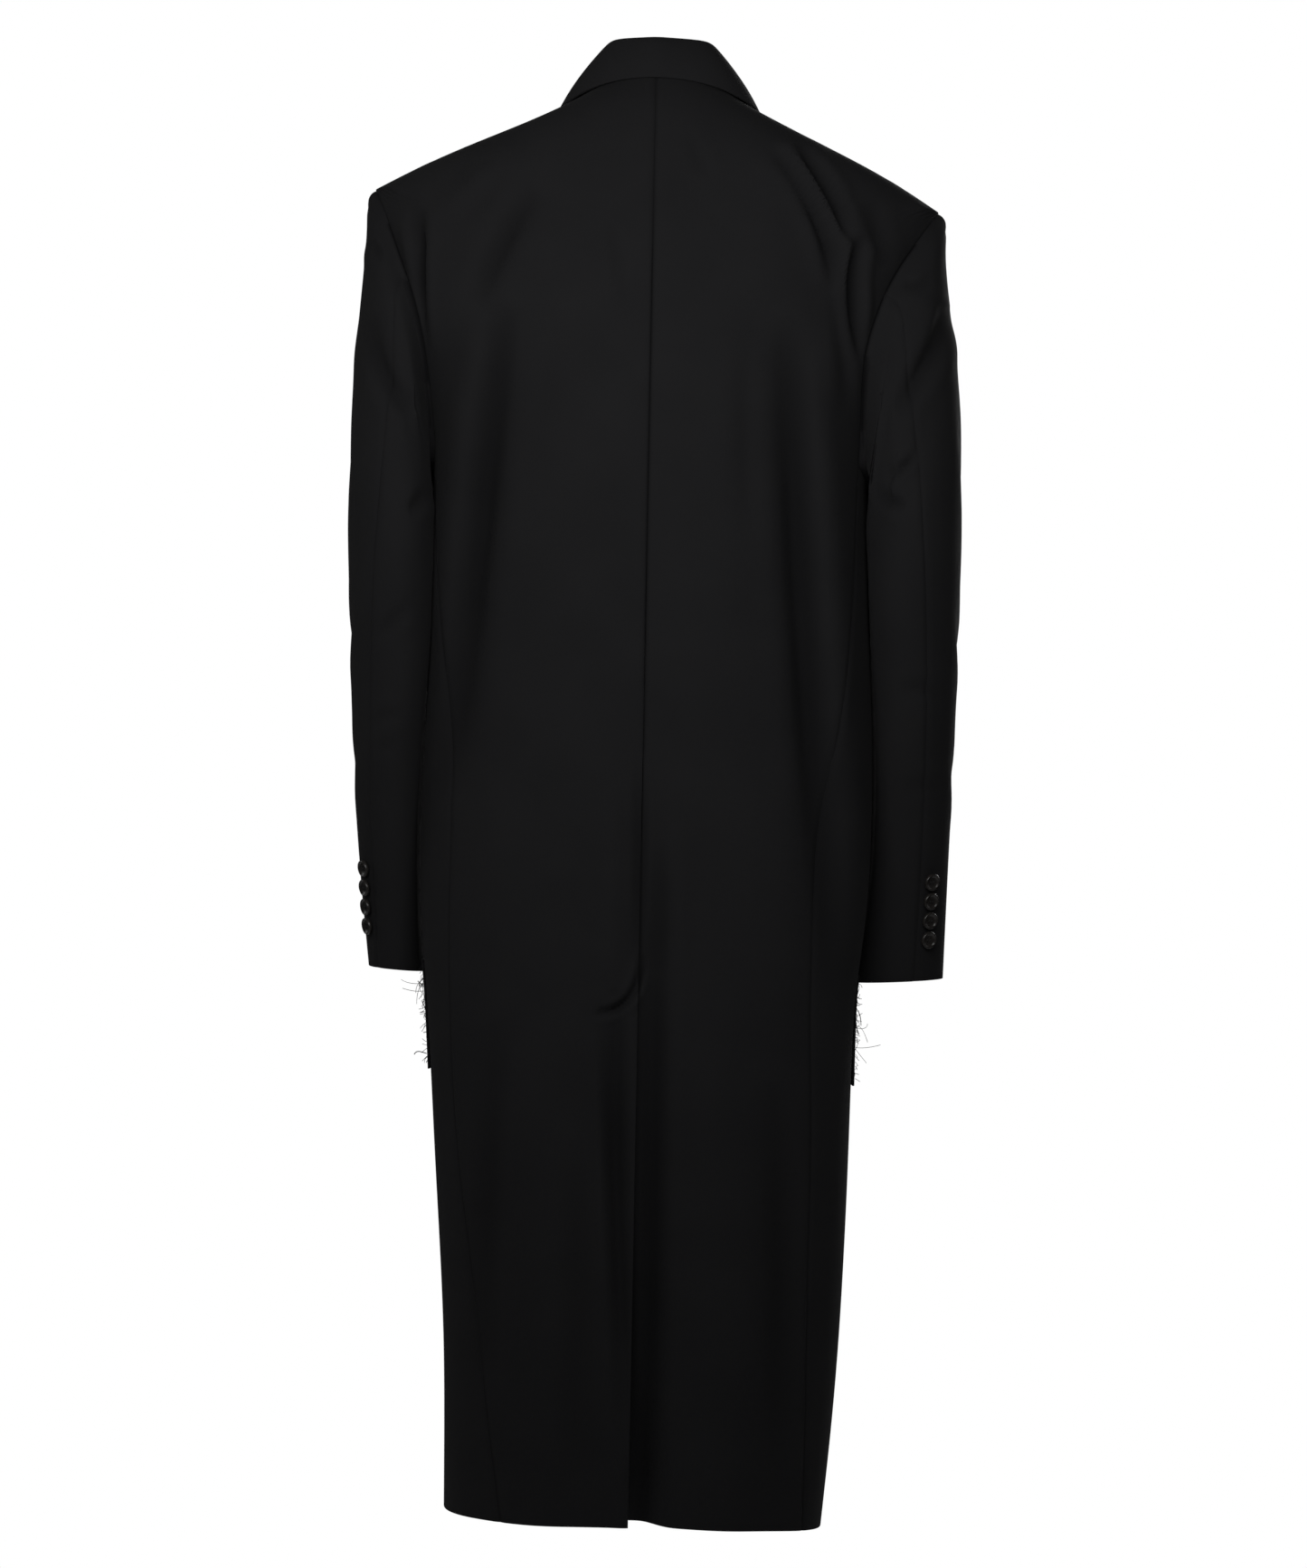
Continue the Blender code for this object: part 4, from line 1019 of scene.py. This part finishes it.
def tube(line, radius):
    """Points and faces of a four-sided thread along a line."""
    points = []
    faces = []
    for k, place in enumerate(line):
        run = line[min(k + 1, len(line) - 1)] - line[max(k - 1, 0)]
        run /= np.linalg.norm(run)
        aside = np.cross(run, [0.31, 0.22, 0.93])
        aside /= np.linalg.norm(aside)
        up = np.cross(run, aside)
        points += [place + radius * (math.cos(a) * aside + math.sin(a) * up)
                   for a in (0, math.pi / 2, math.pi, 1.5 * math.pi)]
    for k in range(len(line) - 1):
        for corner in range(4):
            near, far = 4 * k + corner, 4 * k + (corner + 1) % 4
            faces.append((near, far, far + 4, near + 4))
    last = 4 * (len(line) - 1)
    return points, faces + [(3, 2, 1, 0), (last, last + 1, last + 2, last + 3)]


def joined_tubes(name, lines, sizes, material):
    """All the lines as one mesh of threads."""
    points = []
    faces = []
    for line, radius in zip(lines, sizes):
        more_points, more_faces = tube(line, radius)
        faces += [tuple(k + len(points) for k in face) for face in more_faces]
        points += more_points
    mesh = bpy.data.meshes.new(name)
    mesh.from_pydata([tuple(p) for p in points], [], faces)
    mesh.materials.append(material)
    mesh.shade_smooth()
    piece = bpy.data.objects.new(name, mesh)
    bpy.context.scene.collection.objects.link(piece)
    return piece


def curl(chance, root, outwards, length):
    """One loose thread: out of the edge, then down, with a bend of its own."""
    step = length / THREAD_STEPS
    heading = outwards + chance.normal(0, CURL_SPREAD, 3)
    heading /= np.linalg.norm(heading)
    bend = chance.normal(0, CURL_BEND, 3)
    line = [root]
    for _ in range(THREAD_STEPS):
        heading = heading + bend + CURL_DROP
        heading /= np.linalg.norm(heading)
        line.append(line[-1] + heading * step)
    return line


def frayed_edge(packed, z):
    """Where a thread at height z leaves the edge of the flap."""
    near = packed[np.argsort(np.abs(packed[:, 2] - z))[:8]]
    return np.array([np.median(near[:, 0]), packed[:, 1].max() - 0.001, z])


def yarn(root, side, out, rise, sag):
    """One yarn that has come loose: a shallow arc from the edge to its free end."""
    line = []
    for step in range(THREAD_STEPS + 1):
        along = step / THREAD_STEPS
        arc = sag * math.sin(math.pi * along)
        line.append(root + np.array([SIDES[side] * (out * along + arc), 0, rise * along + arc]))
    return line


for side, (count, short, long, seed) in THREADS.items():
    node = "fray_" + side
    packed = packed_points(node)
    low, high = packed.min(axis=0), packed.max(axis=0)
    print(node, "from height", round(low[2], 4), "to", round(high[2], 4))
    chance = np.random.default_rng(seed)
    lines = []
    for number in range(count):
        z = chance.uniform(low[2] + 0.004, high[2] - 0.002)
        root = frayed_edge(packed, z)
        shortest, longest = HANGING_LENGTHS if number % HANGING_EVERY == 0 else (short, long)
        length = chance.uniform(shortest, longest)
        outwards = np.array([SIDES[side] * 0.9, chance.uniform(0.1, 0.8), -0.2])
        lines.append(curl(chance, root, outwards, length))
    sizes = [THREAD_RADIUS] * len(lines)
    for yarn_side, height, out, rise, sag in YARNS:
        if yarn_side == side:
            lines.append(yarn(frayed_edge(packed, height), side, out, rise, sag))
            sizes.append(YARN_RADIUS)
    piece = joined_tubes(node + "_threads", lines, sizes, thread_black)
    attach(piece, "root")
    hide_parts(node)
print("loose threads:", {side: row[0] for side, row in THREADS.items()}, "yarns:", len(YARNS))

# %% [markdown]
# ## What each panel was cut to
#
# Every panel is a sheet of wool that was cut flat. The table gives the width and length of
# the cloth that each one takes, its own area, since none is a plain rectangle, how it is
# held, and what it hangs from or lies on. The prints compare that area with the wall's.

CUT = {
    "back_left": (0.262, 1.310, 0.244, "hung", ["collar"]),
    "back_right": (0.274, 1.310, 0.268, "hung", ["collar"]),
    "side_left": (0.200, 0.950, 0.150, "hung", ["back_left", "front_left"]),
    "side_right": (0.206, 0.960, 0.164, "hung", ["back_right", "front_right"]),
    "front_left": (0.214, 1.280, 0.238, "hung", ["collar"]),
    "front_right": (0.207, 1.280, 0.240, "hung", ["collar"]),
    "lapel_left": (0.096, 0.400, 0.024, "folded", ["front_left"]),
    "lapel_right": (0.096, 0.330, 0.019, "folded", ["front_right"]),
    "sleeve_top_left": (0.224, 0.720, 0.125, "hung", ["back_left", "front_left"]),
    "sleeve_top_right": (0.238, 0.715, 0.135, "hung", ["back_right", "front_right"]),
    "sleeve_under_left": (0.202, 0.630, 0.089, "hung", ["sleeve_top_left"]),
    "sleeve_under_right": (0.204, 0.625, 0.089, "hung", ["sleeve_top_right"]),
    "pocket_flap_left": (0.148, 0.100, 0.0145, "hung", ["side_left", "front_left"]),
    "pocket_flap_right": (0.149, 0.103, 0.0147, "hung", ["side_right", "front_right"]),
    "collar": (0.430, 0.105, 0.030, "folded", ["back_left", "back_right"]),
}


def wall_area(piece):
    """The area of one face of the wall."""
    return sum(face.area for face in piece.data.polygons) / 2


for node, piece in cloth_pieces.items():
    width, length, area, held, holders = CUT[node]
    print(node, "cut", area, "measured", round(wall_area(piece), 4))
